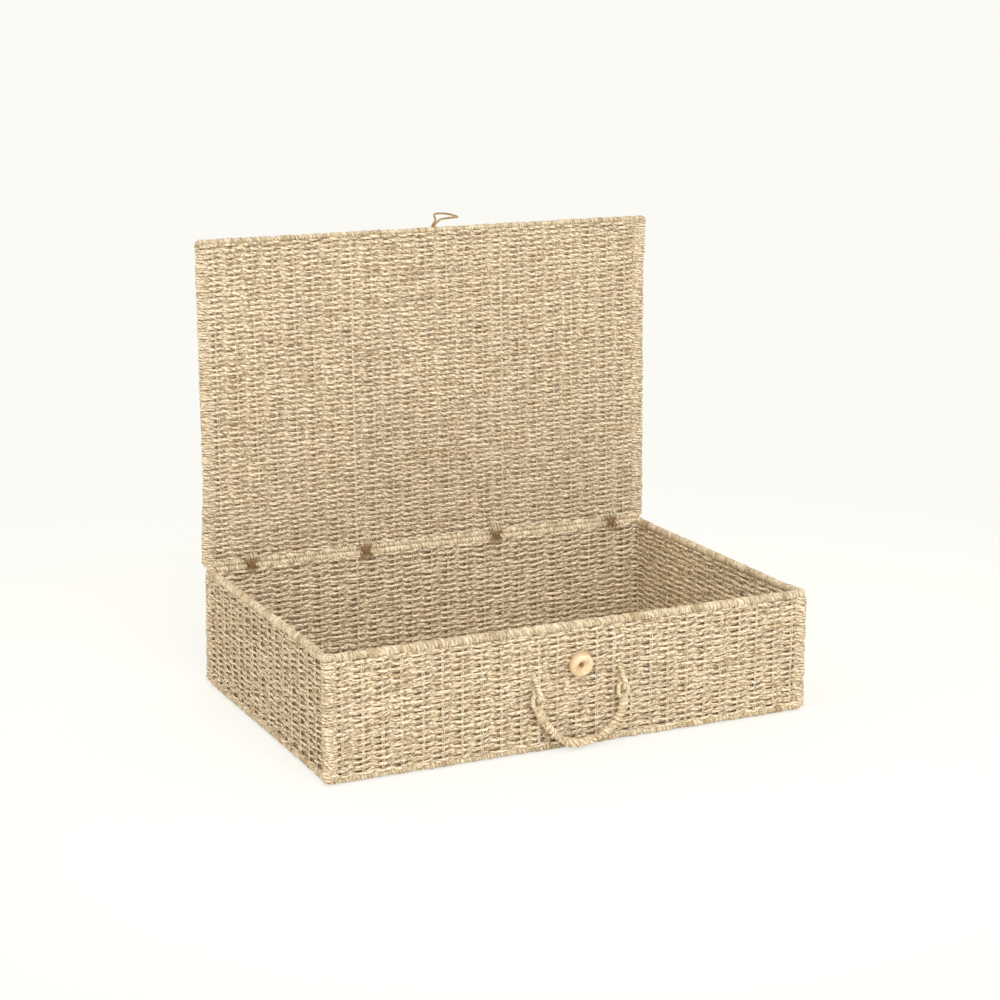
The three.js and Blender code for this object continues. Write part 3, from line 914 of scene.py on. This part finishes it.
@dataclass
class Border(SubAssembly):
    """The wound border of one wire frame: a winding for each side, the corners in the long ones.

    Its front side is near and its back side, where the hinges are, is far. A side radius of 0
    leaves the short sides to the rows that turn round them.
    """

    prefix: str
    body: str
    plane: Plane
    near: float
    far: float
    radius: float
    pitch: float
    hinge_radius: float
    hinge_shift: float
    side_radius: float = 0.0
    flare: tuple[float, float] = (0.0, 0.0)
    hinge_flare: tuple[float, float] = (0.0, 0.0)
    rough: float = 1.0
    # The hinge windings are painted paler, as painted light against the shade of the lid.
    hinge_painted_light: float = 0.0
    near_sink: float = 0.0
    near_deepen: float = 0.0
    half_length: float = FRAME_HALF_WIDTH
    bend: float = 4.0
    long_cord: float = 1.5
    side_cord: float = 1.4
    lap: float = 0.6
    seed: int = 20

    def corner(self, sign: float, end: float, flare: float) -> Array:
        """Points round one corner, from the short side to the long one.

        Args:
            sign: -1 for the left corner, 1 for the right one.
            end: where the long side is, across the plane.
            flare: how far the corner stands out.

        Returns:
            Points by 3.
        """
        turn = np.linspace(0, math.pi / 2, 9)
        inward = math.copysign(1.0, self.near + self.far - 2 * end)
        along = sign * (self.half_length + flare - self.bend * (1 - np.cos(turn)))
        return self.plane.place(along, end + inward * self.bend * (1 - np.sin(turn)))

    def long_side(self, hinge: bool) -> Winding:
        """Lays out a long side.

        Args:
            hinge: whether it is the one at the hinges.

        Returns:
            Its winding.
        """
        end, flare = (self.far, self.hinge_flare) if hinge else (self.near, self.flare)
        path = np.concatenate([self.corner(-1, end, flare[0]), self.corner(1, end, flare[1])[::-1]])
        winding = Winding(
            path, self.plane.normal, self.radius, self.pitch, self.long_cord, rough=self.rough,
            lap=self.lap,
        )
        # At the hinge the winding is painted paler, as painted light against the lid's shade.
        if hinge:
            path[:, 2] += self.hinge_shift
            winding.outer, winding.pale = self.hinge_radius, self.hinge_painted_light
        else:
            path += self.near_sink * self.plane.normal
            winding.deepen = self.near_deepen
        return winding

    def short_side(self, sign: int, flare: float) -> Winding:
        """Lays out a short side.

        Args:
            sign: -1 for the left side, 1 for the right one.
            flare: how far its front end stands out.

        Returns:
            Its winding.
        """
        ends = (self.near + self.bend, self.near + 12 * self.bend, self.far - self.bend)
        out = sign * (self.half_length + flare * np.array(X))
        return Winding(
            self.plane.place(out, np.array(ends)), self.plane.normal, self.side_radius, self.pitch,
            self.side_cord, rough=self.rough, lap=self.lap,
        )

    def build(self) -> None:
        """Builds the windings of the long sides, and of the short ones that it has."""
        sides = [("front", self.long_side(False)), ("back", self.long_side(True))]
        if self.side_radius:
            sides += [(hand, self.short_side(sign, self.flare[sign > 0])) for hand, sign in HANDS]
        for number, (side, winding) in enumerate(sides):
            bundle = CordBundle(sides=7, rng=np.random.default_rng(self.seed + number))
            winding.add_to(bundle)
            nodes = [f"{self.prefix}_wrap_{side}"]
            if side in ("front", "back"):
                nodes += [f"{self.prefix}_corner_{side}_{hand}" for hand, _ in HANDS]
            piece = bundle.mesh(f"{self.prefix}_winding_{side}")
            self.dress(piece, self.body, Slot.WEAVE, nodes, WOUND_FINISH)


@dataclass
class RowTurns(SubAssembly):
    """The strands of the rows where they turn round an upright: a corner post or a side of the lid.

    They come in along the face that start points out of, go round the upright on the side that
    end points to, and run on along the other face.
    """

    name: str
    body: str
    node: str
    middle: Vec | Array
    start: Vec | Array
    end: Vec
    radius: float
    swept_deg: float
    lead: float
    rise: Vec
    levels: Array
    spread: Array | float = 0.0
    strand: float = 2.1
    flatness: float = 0.9
    lay: float = -30.0
    lobe: float = 0.15
    # How far a strand climbs and strays up, in shares of the distance between rows, how far it
    # strays out, in mm, and in size, and the share of the radius by which its ends sink in.
    climb: float = 0.1
    stray_up: float = 0.05
    stray_out: float = 0.35
    stray_size: float = 0.08
    sink: float = 0.8
    seed: int = 40

    def turn(self) -> tuple[Array, Array]:
        """Lays out one strand's turn at the rows' zero level.

        Returns:
            Its points and the directions out of the upright there.
        """
        turn = np.radians(np.linspace(0, self.swept_deg, 11))[:, None]
        first, second = np.asarray(self.start, float), np.asarray(self.end, float)
        outward = np.cos(turn) * first + np.sin(turn) * second
        ahead = np.cos(turn) * second - np.sin(turn) * first
        # On the faces the strands sink in among the panel's rows.
        run = np.array([1.0, 0.7, 0.35])[:, None]
        sunk = self.radius * (1 - self.sink * run**2)
        inward = sunk * outward[:1] - self.lead * run * ahead[:1]
        onward = (sunk * outward[-1:] + self.lead * run * ahead[-1:])[::-1]
        path = np.asarray(self.middle) + np.concatenate([inward, self.radius * outward, onward])
        leads = outward[:1].repeat(len(run), 0), outward[-1:].repeat(len(run), 0)
        return path, np.concatenate([leads[0], outward, leads[1]])

    def build(self) -> None:
        """Builds two strands for each row."""
        rng = np.random.default_rng(self.seed)
        bundle = CordBundle(sides=8, rng=rng)
        path, outward = self.turn()
        pitch = float(np.diff(self.levels).mean())
        slope = np.linspace(-self.climb, self.climb, len(path)) * pitch
        middle = outward[len(outward) // 2]
        for level, spread in zip(self.levels, np.broadcast_to(self.spread, self.levels.shape)):
            for half in (-0.25, 0.25):
                height = level + (half + self.stray_up * rng.normal()) * pitch + slope
                line = path + height[:, None] * np.asarray(self.rise)
                line = line + self.stray_out * rng.normal() * outward + spread * middle
                thick = self.strand * (1 + self.stray_size * rng.normal())
                bundle.add(
                    line[None], outward[None], self.flatness * thick, thick, lay=self.lay,
                    lobe=self.lobe,
                )
        self.dress(bundle.mesh(self.name), self.body, Slot.WEAVE, [self.node])


@dataclass
class HingeTies(SubAssembly):
    """The lashings that hold the lid's border to the rim: crossed turns of thin brown cord."""

    places: Sequence[float] = (-243.0, -93.0, 85.0, 250.0)
    half_width: float = 4.0
    turns: int = 4
    gap: float = 2.2
    cord: float = 0.9
    lay: float = 8.0
    reach: float = 6.9
    # The upper layer is lifted over the lower one by this many cord radii.
    layer_lift: float = 1.9
    stray_across: float = 0.4
    stray_out: float = 0.15
    # A lashing starts to turn pale this far from its middle, and is bleached this much further.
    bleach_from: float = 5.0
    bleach_over: float = 3.0
    seed: int = 50

    def build(self) -> None:
        """Builds the four lashings."""
        rise = HINGE_Z - RIM_HEIGHT
        arc = np.linspace(0, math.pi, 15)
        straight = np.linspace(0, 1, 9)[1:-1]
        flat, bent = np.ones(len(straight)), np.ones(len(arc))
        # The turn goes up the front, over the top, down the back and under the rim.
        y = np.concatenate([-flat, -np.cos(arc), flat, np.cos(arc)])
        z = np.concatenate([straight * rise, bent * rise, (1 - straight) * rise, 0 * arc])
        bulge = np.concatenate([0 * flat, np.sin(arc), 0 * flat, -np.sin(arc)])
        slope = np.concatenate([2 * straight - 1, bent, 1 - 2 * straight, -bent])
        hump = np.concatenate([np.sin(math.pi * straight), 0 * arc] * 2)
        # The cord is bleached where it goes over the top and under the rim.
        beyond = np.abs(z + self.reach * bulge - rise / 2) - self.bleach_from
        bleached = np.clip(beyond / self.bleach_over, 0, 1)
        for number, x in enumerate(self.places):
            rng = np.random.default_rng(self.seed + number)
            bundle = CordBundle(sides=7, rng=rng)
            for layer, hand in enumerate((1.0, -1.0)):
                for turn in range(self.turns):
                    shift = (turn - (self.turns - 1) / 2) * self.gap
                    shift += self.stray_across * rng.normal()
                    lift = layer * self.layer_lift * self.cord * hump
                    reach = self.reach + lift + self.stray_out * rng.normal()
                    across = x + shift + hand * self.half_width * slope
                    centre = np.stack([across, 0 * z + HINGE_Y, RIM_HEIGHT + z], axis=1)
                    around = HINGE_Y + reach * y, RIM_HEIGHT + z + reach * bulge
                    line = np.stack([across, *around], axis=1)
                    up = unit(line - centre)
                    bundle.add(
                        line[None], up[None], self.cord, self.cord, bleached, closed=True,
                        lay=self.lay,
                    )
            name = f"hinge_tie_{number + 1}"
            self.dress(bundle.mesh(f"{name}_cord"), "box", Slot.LASHING, [name])


def smooth_line(points: Array, per_span: int) -> Array:
    """Draws a smooth curve through points.

    Args:
        points: points by 2 or 3.
        per_span: new points for each span.

    Returns:
        The curve's points, the given ones among them.
    """
    padded = [2 * points[:1] - points[1:2], points, 2 * points[-1:] - points[-2:-1]]
    padded = np.concatenate(padded)
    t = np.arange(per_span)[:, None] / per_span
    spans = []
    for i in range(1, len(padded) - 2):
        a, b, c, d = padded[i - 1 : i + 3]
        square, cube = 2 * a - 5 * b + 4 * c - d, 3 * b - a - 3 * c + d
        spans.append(0.5 * (2 * b + (c - a) * t + square * t**2 + cube * t**3))
    return np.concatenate([*spans, points[-1:]])


@dataclass
class Button(SubAssembly):
    """The turned wooden button on the front."""

    radius: float = 14.3
    thickness: float = 11.0
    middle_x: float = 2.5
    back: float = -199.8
    height: float = 98.0
    droop_deg: float = 12.0
    segments: int = 72
    # The turned section: shares of the radius and of the thickness, from the hole at the back,
    # round the edge, to the dished face.
    section: Sequence[tuple[float, float]] = (
        (0.07, 0.0), (0.70, 0.0), (0.92, 0.12), (1.00, 0.42), (0.98, 0.66), (0.90, 0.86),
        (0.78, 0.98), (0.66, 1.0), (0.52, 0.92), (0.38, 0.76), (0.20, 0.56), (0.07, 0.40),
    )

    def build(self) -> None:
        """Turns the button."""
        size = [self.radius, self.thickness]
        radii, depths = smooth_line(np.array(self.section) * size, per_span=5).T
        turn = np.arange(self.segments) * TAU / self.segments
        x = self.middle_x + radii[:, None] * np.cos(turn)
        # The button hangs on its cord, so its face looks down a little.
        droop = math.radians(self.droop_deg)
        up = radii[:, None] * np.sin(turn)
        out = depths[:, None] - self.thickness / 2
        y = self.back - self.thickness / 2 - out * math.cos(droop) - up * math.sin(droop)
        z = self.height - out * math.sin(droop) + up * math.cos(droop)
        points = np.stack([x, y, z], axis=-1).reshape(-1, 3) * MM
        ring = np.arange(len(radii))[:, None]
        after = (ring + 1) % len(radii)
        faces = ring_quads(ring * self.segments, after * self.segments, self.segments)
        mesh = bpy.data.meshes.new("turned_button")
        mesh.from_pydata(points.tolist(), [], faces.reshape(-1, 4).tolist())
        mesh.polygons.foreach_set("use_smooth", np.ones(len(mesh.polygons), bool))
        # The outer edge turns amber, and the amber round the hole is painted shade.
        share = radii / self.radius
        edge = 0.5 * np.clip((share - 0.9) / 0.1, 0, 1) + np.clip((0.2 - share) / 0.12, 0, 1)
        amber_and_hole_shade = mesh.attributes.new("edge", "FLOAT", "POINT")
        amber_and_hole_shade.data.foreach_set("value", edge.repeat(self.segments))
        mesh.update()
        self.dress(add_object("turned_button", mesh), "box", Slot.WOOD, ["button"])


def oblong(half_span: float, bend: float, steps: int) -> Array:
    """Draws a closed oblong with round ends.

    Args:
        half_span: half the distance between the ends' centres.
        bend: radius of the ends.
        steps: points round the whole.

    Returns:
        2 by points, the long way first.
    """
    turn = np.linspace(-math.pi / 2, math.pi / 2, 24)
    right = np.stack([half_span + bend * np.cos(turn), bend * np.sin(turn)], axis=1)
    ring = np.concatenate([right, -right, right[:1]])
    even, _ = resample(np.column_stack([ring, np.zeros(len(ring))]), gap=0.2)
    pick = np.linspace(0, len(even) - 1, steps + 1)[:-1].round().astype(int)
    return even[pick, :2].T


@dataclass
class RopeHandle(SubAssembly):
    """The carrying handle: a wound rope with an eye at each end, hung from two cord links."""

    middle_x: float = 1.5
    axis_y: float = -207.0
    axis_z: float = 71.0
    half_span: float = 53.5
    radius: float = 5.0
    pitch: float = 5.7
    cord: float = 2.3
    lay: float = 15.0
    eye_cord: float = 2.7
    eye_bend: float = 5.8
    eye_flat: float = 5.0
    eye_lay: float = 7.0
    eye_lobe: float = 0.2
    link_cord: float = 3.0
    link_bend: float = 6.0
    link_rise: float = 12.5
    link_lay: float = 8.0
    link_lobe: float = 0.22
    # How far the rope, eyes and links are painted paler: partly their own colour, partly painted
    # highlight.
    pale: float = 0.2
    whipping: float = 16.0
    whip_pitch: float = 2.1
    whip_cord: float = 0.8
    seed: int = 60
    # The rope's line between its eyes, across from the middle and up from the ground.
    sag: Sequence[tuple[float, float]] = (
        (-52.5, 52.0), (-47.5, 41.5), (-39.0, 30.0), (-29.0, 19.5), (-18.0, 11.5), (-6.0, 7.8),
        (7.0, 7.8), (19.0, 10.5), (30.0, 14.0), (38.5, 19.5), (46.0, 28.0), (52.0, 38.0),
        (54.5, 48.0),
    )

    def build(self) -> None:
        """Builds the rope with its eyes, and the links."""
        bundle = CordBundle(sides=9, rng=np.random.default_rng(self.seed))
        self.add_rope(bundle)
        ring = oblong(self.eye_flat / 2, self.eye_bend, steps=44)
        middle = self.axis_z - self.eye_bend - self.eye_flat / 2
        size = self.eye_cord
        for _, sign in HANDS:
            x = self.middle_x + sign * self.half_span
            line = Plane((x, self.axis_y, middle), Z, X).place(*ring)
            bundle.add(line[None], Y, size, size, self.pale, True, self.eye_lay, self.eye_lobe)
        self.dress(bundle.mesh("handle_rope"), "handle", Slot.ROPE, ["handle_winding"])
        reach = -FRAME_HALF_DEPTH - self.axis_y
        slant = math.atan2(self.link_rise, reach)
        run, climb = math.cos(slant), math.sin(slant)
        ring = oblong(math.hypot(reach, self.link_rise) / 2, self.link_bend, steps=60)
        size = self.link_cord
        for hand, sign in HANDS:
            bundle = CordBundle(sides=10, rng=np.random.default_rng(self.seed + 2 + sign))
            x = self.middle_x + sign * self.half_span
            middle = (x, self.axis_y + reach / 2, self.axis_z + self.link_rise / 2)
            line = Plane(middle, (0.0, run, climb), (0.0, -climb, run)).place(*ring)
            bundle.add(line[None], X, size, size, self.pale, True, self.link_lay, self.link_lobe)
            name = f"handle_link_{hand}"
            self.dress(bundle.mesh(f"{name}_cord"), "box", Slot.ROPE, [name])

    def add_rope(self, bundle: CordBundle) -> None:
        """Adds the wound rope, and the thin whipping round its two ends.

        Args:
            bundle: the mesh that they go in.
        """
        end = self.axis_z - 2 * self.eye_bend - self.eye_flat
        line = [(-self.half_span, end), *self.sag, (self.half_span, end)]
        points = np.array([[self.middle_x + x, self.axis_y, z] for x, z in line])
        path = smooth_line(points, per_span=12)
        rope = Winding(
            path, Y, self.radius, self.pitch, self.cord, turn_steps=16, lap=0.5, lay=self.lay
        )
        rope.add_to(bundle)
        even, at = resample(path, gap=0.5)
        for end in (even[at < self.whipping], even[at > at[-1] - self.whipping]):
            Winding(
                end, Y, self.radius + 0.5, self.whip_pitch, self.whip_cord, turn_steps=18, rough=0.7
            ).add_to(bundle)


@dataclass
class ClosingLoop(SubAssembly):
    """The cord loop on the lid's front border that slips over the button."""

    cord: float = 1.4
    lay: float = 4.4
    lobe: float = 0.25
    up: Vec = (0.0, -0.3, 1.0)
    seed: int = 70
    route: Sequence[Vec] = (
        (4.1, 200.6, 540.3), (5.2, 201.3, 543.5), (8.4, 202.6, 546.9), (10.8, 205.2, 550.4),
        (10.8, 208.6, 553.4), (12.4, 211.2, 555.3), (15.8, 212.6, 556.1), (21.1, 212.7, 556.1),
        (27.5, 212.4, 555.5), (33.9, 211.8, 554.3), (38.9, 210.3, 552.8), (41.3, 207.6, 551.7),
        (39.5, 204.8, 551.4), (34.5, 203.6, 551.5), (27.9, 203.2, 551.1), (21.5, 203.0, 550.8),
        (15.7, 202.6, 549.7), (11.3, 201.7, 546.9), (8.1, 201.2, 543.6), (6.9, 200.5, 540.3),
    )

    def build(self) -> None:
        line, at = resample(smooth_line(np.array(self.route), per_span=8), gap=0.55)
        bundle = CordBundle(sides=8, rng=np.random.default_rng(self.seed))
        bundle.add(line[None], self.up, self.cord, self.cord, lay=self.lay, lobe=self.lobe)
        piece = bundle.mesh("closing_loop")
        self.dress(piece, "loop", Slot.LOOP, ["button_loop"])


@dataclass
class WireFrame:
    """The steel wires inside the weave and two hidden cords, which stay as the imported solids."""

    cords: tuple[tuple[str, Slot], ...] = (
        ("button_cord", Slot.LASHING),
        ("handle_core", Slot.ROPE),
    )

    def build(self) -> None:
        """Gives every solid that still shows its finish."""
        for name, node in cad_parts.items():
            if not node.hide_render:
                slot = dict(self.cords).get(name, Slot.WIRE)
                node.data.materials.clear()
                node.data.materials.append(FINISHES[slot].material())
                LOG.info("%s keeps its solid", name)


@dataclass(frozen=True)
class Lamp:
    """A soft square lamp that faces the box: its place and side in metres, and power in watts."""

    name: str
    place: Vec
    size: float
    power: float
    tint: str = "FFFFFF"
    target: Vec = (0.0, 0.0, 0.2)

    def hang(self) -> None:
        """Hangs the lamp."""
        data = bpy.data.lights.new(self.name, "AREA")
        data.size = self.size
        data.energy = self.power
        data.color = linear_colour(self.tint)[:3]
        lamp = add_object(self.name, data)
        lamp.location = self.place
        aim = Vector(self.target) - Vector(self.place)
        lamp.rotation_euler = aim.to_track_quat("-Z", "Y").to_euler()


@dataclass
class Studio:
    """The pale floor, the soft lamps and the camera."""

    backdrop: str = "FBFAF5"
    world_tint: str = "FFFDF8"
    world_light: float = 1.0
    floor_half: float = 40.0
    floor_drop: float = 0.0006
    # The floor keeps a shadow near the box and fades into the backdrop between two distances.
    fade_metres: tuple[float, float] = (0.5, 1.4)
    fade_from: float = 0.72
    camera_at: Vec = (-1146.3, -2398.6, 878.4)
    camera_yaw: float = 25.551
    camera_pitch: float = 13.456
    lens_mm: float = 83.743
    sensor_mm: float = 36.0
    lamps: Sequence[Lamp] = (
        Lamp("front_lamp", (-0.3, -2.7, 2.1), size=1.8, power=46.0),
        Lamp("left_lamp", (-2.6, -0.8, 1.5), size=1.4, power=7.0, tint="FFE6B4"),
        Lamp("top_lamp", (-0.35, -0.3, 1.4), size=0.8, power=2.6),
    )

    def camera(self) -> None:
        """Stands the camera where the photograph was taken from."""
        data = bpy.data.cameras.new("portrait_camera")
        data.lens = self.lens_mm
        data.sensor_width = self.sensor_mm
        camera = add_object("portrait_camera", data)
        camera.location = [v * MM for v in self.camera_at]
        pitch, yaw = math.radians(90 - self.camera_pitch), math.radians(-self.camera_yaw)
        camera.rotation_euler = (pitch, 0.0, yaw)
        bpy.context.scene.camera = camera

    def seen(self, tree: bpy.types.NodeTree) -> bpy.types.Node:
        """Is 1 where the eye, a mirror or glass looks, and 0 for light.

        Args:
            tree: the node tree that asks.

        Returns:
            The node that says so.
        """
        rays = add_node(tree, "LightPath").outputs
        eye = {0: rays["Is Camera Ray"], 1: rays["Is Glossy Ray"]}
        eye = add_node(tree, "Math", eye, operation="MAXIMUM")
        glass = {0: eye, 1: rays["Is Transmission Ray"]}
        return add_node(tree, "Math", glass, operation="MAXIMUM")

    def world(self) -> None:
        """Lights the object evenly and shows the backdrop's colour."""
        world = bpy.data.worlds.new("studio")
        tree = blank_nodes(world)
        light = {0: linear_colour(self.world_tint), 1: self.world_light}
        light = add_node(tree, "Background", light)
        shown = add_node(tree, "Background", {0: linear_colour(self.backdrop), 1: 1.0})
        mix = add_node(tree, "MixShader", {0: self.seen(tree), 1: light, 2: shown})
        add_node(tree, "OutputWorld", {0: mix})
        bpy.context.scene.world = world

    def floor(self) -> None:
        """Lays a pale floor that keeps the object's shadow and fades into the backdrop."""
        half = self.floor_half
        mesh = bpy.data.meshes.new("floor")
        corners = [(-half, -half, 0), (half, -half, 0), (half, half, 0), (-half, half, 0)]
        mesh.from_pydata(corners, [], [(0, 1, 2, 3)])
        floor = add_object("floor", mesh)
        floor.location.z = -self.floor_drop
        material = bpy.data.materials.new("seamless_paper_floor")
        tree = blank_nodes(material)
        where = add_node(tree, "TexCoord").outputs["Object"]
        distance = add_node(tree, "VectorMath", {0: where}, operation="LENGTH")
        low, high = self.fade_metres
        fade = {"Value": distance, "From Min": low, "From Max": high, "To Min": self.fade_from}
        fade = add_node(tree, "MapRange", fade, interpolation_type="SMOOTHSTEP")
        share = add_node(tree, "Math", {0: fade, 1: self.seen(tree)}, operation="MULTIPLY")
        paper = add_node(tree, "BsdfDiffuse", {0: linear_colour(self.backdrop)})
        shown = add_node(tree, "Emission", {0: linear_colour(self.backdrop), 1: 1.0})
        mix = add_node(tree, "MixShader", {0: share, 1: paper, 2: shown})
        add_node(tree, "OutputMaterial", {0: mix})
        mesh.materials.append(material)

    def light(self) -> None:
        """Lights the box with the world and the lamps, and lays the floor."""
        self.world()
        self.floor()
        for lamp in self.lamps:
            lamp.hang()


def stakes_between(
    half_length: float, pitch: float, wired: Sequence[float], seed: int
) -> list[float]:
    """Spaces a panel's stakes, a little unevenly, with one at each of its wires.

    Args:
        half_length: half the panel's length.
        pitch: the distance between stakes.
        wired: places of the panel's wires, or of one stake.
        seed: the seed of the unevenness.

    Returns:
        The stakes' places, with one beyond each end.
    """
    rng = np.random.default_rng(seed)
    phase = wired[0]
    first = math.floor((-half_length - phase) / pitch)
    last = math.ceil((half_length - phase) / pitch)
    places = [phase + pitch * k for k in range(first, last + 1)]
    return [p if any(abs(p - w) < 1 for w in wired) else p + 0.9 * rng.normal() for p in places]


def panels() -> list[TwinedPanel]:
    """Describes the box's four walls and floor, and the lid.

    Returns:
        The panels.
    """
    long_half, short_half, lid_half = 294.0, 194.0, 291.0
    width, depth = FRAME_HALF_WIDTH, FRAME_HALF_DEPTH
    # Each wall's side, the middle of its foot, its direction, half its length, the distance
    # between its stakes, and the places of its wires or of one stake.
    walls = (
        ("front", (0, -depth, WALL_BOTTOM), X, long_half, 23.5, (-46.0, 48.0)),
        ("back", (0, depth, WALL_BOTTOM), X, long_half, 25.0, (-104.0, 96.0)),
        ("left", (-width, 0, WALL_BOTTOM), Y, short_half, 25.0, (12.5,)),
        ("right", (width, 0, WALL_BOTTOM), Y, short_half, 25.0, (12.5,)),
    )
    side_weave = {
        "strand": 2.13, "swing": 2.3, "rise": 0.7, "swell": 0.22, "fill": 0.05, "stake_out": 2.0,
        "uneven": 0.5, "lay": -75.0, "lobe": 0.5,
    }
    # The back and right walls show their inner faces, which are painted paler than the outer ones
    # as painted light against the shade inside the box.
    inner_painted_light = {"back": 0.8, "right": 1.0}
    # How dark the gap strands of the side walls are painted, as painted shade.
    gap_painted_shade = {"left": 0.78, "right": 0.35}
    made = []
    for number, (side, foot, along, half, pitch, wired) in enumerate(walls):
        made.append(
            TwinedPanel(
                f"{side}_wall", f"{side}_panel", "box", Plane(foot, along, Z), half,
                WALL_TOP - WALL_BOTTOM, rows=19,
                stakes=stakes_between(half, pitch, wired, 100 + number),
                wired=wired if len(wired) > 1 else (),
                lap=(4.5, 6.5) if side == "back" else (4.5, 3.0),
                row_painted_light=inner_painted_light.get(side, 0.0), packing_painted_shade=gap_painted_shade.get(side, 0.5),
                seed=number + 1, **(side_weave if along == Y else {}),
            )
        )
    floor_wires, lid_wires = (-96.0, 104.0), (-104.0, 96.0)
    floor_half_depth, floor_height, lid_start = 189.2, 4.0, 5.8
    lid_foot = (0.0, HINGE_Y + lid_start * LID_UP[1], HINGE_Z + lid_start * LID_UP[2])
    # The floor's rows are painted paler, as painted light that lifts the light bounced inside the
    # box.
    floor = TwinedPanel(
        "floor", "floor_panel", "box", Plane((0, -floor_half_depth, floor_height), X, Y), long_half,
        2 * floor_half_depth, rows=60, stakes=stakes_between(long_half, 25.0, floor_wires, 104),
        wired=floor_wires, lap=(2.5, 2.5), strand=1.9, swing=1.6, rise=0.9, row_painted_light=0.6,
        stake=0.9, stake_out=0.9, packing=1.8, step=3.5, sides=6, bands=2, seed=5,
    )
    lid = TwinedPanel(
        "lid", "lid_panel", "lid", Plane(lid_foot, X, LID_UP), lid_half,
        LID_LENGTH - 2 * lid_start, rows=60, stakes=stakes_between(lid_half, 25.0, lid_wires, 105),
        wired=lid_wires, lap=(6.5, 6.5), strand=1.95, swing=2.5, rise=1.05, swell=0.22, lay=-25.0,
        lobe=0.34, stake=0.85, stake_out=2.1, stake_painted_light=0.25, packing=2.1, packing_painted_shade=0.45,
        bands=3, seed=6,
    )
    return [*made, floor, lid]


def borders() -> list[Border]:
    """Describes the wound borders of the rim, the base and the lid.

    Returns:
        The borders.
    """
    depth = FRAME_HALF_DEPTH
    return [
        Border(
            "rim", "box", Plane((0, 0, RIM_HEIGHT), X, Y), near=-depth, far=depth, radius=5.4,
            pitch=4.1, hinge_radius=4.8, hinge_shift=2.0, side_radius=5.0, flare=(3.4, 3.4),
            hinge_painted_light=0.8, seed=20,
        ),
        Border(
            "base", "box", Plane((0, 0, BASE_HEIGHT), X, Y), near=-depth, far=depth, radius=4.6,
            pitch=4.4, hinge_radius=4.6, hinge_shift=0.0, side_radius=4.6, flare=(1.5, 1.5),
            rough=1.1, seed=24,
        ),
        Border(
            "lid", "lid", Plane((0, HINGE_Y, HINGE_Z), X, LID_UP), near=LID_LENGTH + 1.5, far=0.0,
            radius=3.4, pitch=3.6, hinge_radius=4.4, hinge_shift=-2.2, flare=(1.5, 4.6),
            hinge_flare=(5.0, 0.0), rough=1.4, hinge_painted_light=0.8, near_sink=0.5, near_deepen=1.7,
            seed=28,
        ),
    ]


def row_turns(made: Sequence[TwinedPanel]) -> list[RowTurns]:
    """Describes where the rows turn round the box's corners and the lid's sides.

    Args:
        made: the panels.

    Returns:
        The turns.
    """
    named = {panel.name: panel for panel in made}
    turns = []
    # The back corners lean in a little towards the rim.
    ends = (("front", -1, 295.0, 195.0, 0.0), ("back", 1, 295.4, 193.0, 0.02))
    for end, sy, x, y, lean in ends:
        panel = named[f"{end}_wall"]
        for hand, sx in HANDS:
            foot = np.array([sx * panel.half_length])
            turns.append(
                RowTurns(
                    f"{end}_{hand}_corner_rows", "box", f"corner_rib_{end}_{hand}",
                    middle=(sx * x, sy * y, WALL_BOTTOM), start=(sx, 0, 0), end=(0, sy, 0),
                    radius=5.7, swept_deg=90.0, lead=8.0, rise=(-sx * lean, 0, 1),
                    levels=panel.middles(np.arange(panel.rows), foot)[:, 0], seed=40 + len(turns),
                )
            )
    lid = named["lid"]
    # How far the lid's lower left and upper right corners spread, and over what length.
    spreads = {"left": (5.0, 0.0), "right": (0.0, 3.1)}
    low_reach, high_reach = 100, 60
    for hand, sx in HANDS:
        levels = lid.middles(np.arange(lid.rows), np.array([sx * lid.half_length]))[:, 0]
        low, high = spreads[hand]
        heights = [0, low_reach, lid.height - high_reach, lid.height]
        turns.append(
            RowTurns(
                f"lid_{hand}_edge_rows", "lid", f"lid_wrap_{hand}",
                middle=np.asarray(lid.plane.origin) + [sx * FRAME_HALF_WIDTH, 0, 0],
                start=lid.plane.normal, end=(sx, 0, 0), radius=3.1, swept_deg=180.0, lead=12.0,
                rise=LID_UP, levels=levels, spread=np.interp(levels, heights, [low, 0, 0, high]),
                strand=1.85, seed=40 + len(turns),
            )
        )
    return turns


def main() -> None:
    """Builds the studio and the box, piece by piece."""
    logging.basicConfig(level=logging.INFO, format="%(message)s")
    bpy.context.scene.view_settings.view_transform = "Standard"
    studio = Studio()
    studio.camera()
    made = panels()
    weave = (*made, *row_turns(made), *borders())
    for part in (ClosingLoop(), *weave, HingeTies(), Button(), RopeHandle(), WireFrame()):
        part.build()
    studio.light()


if __name__ == "__main__":
    main()
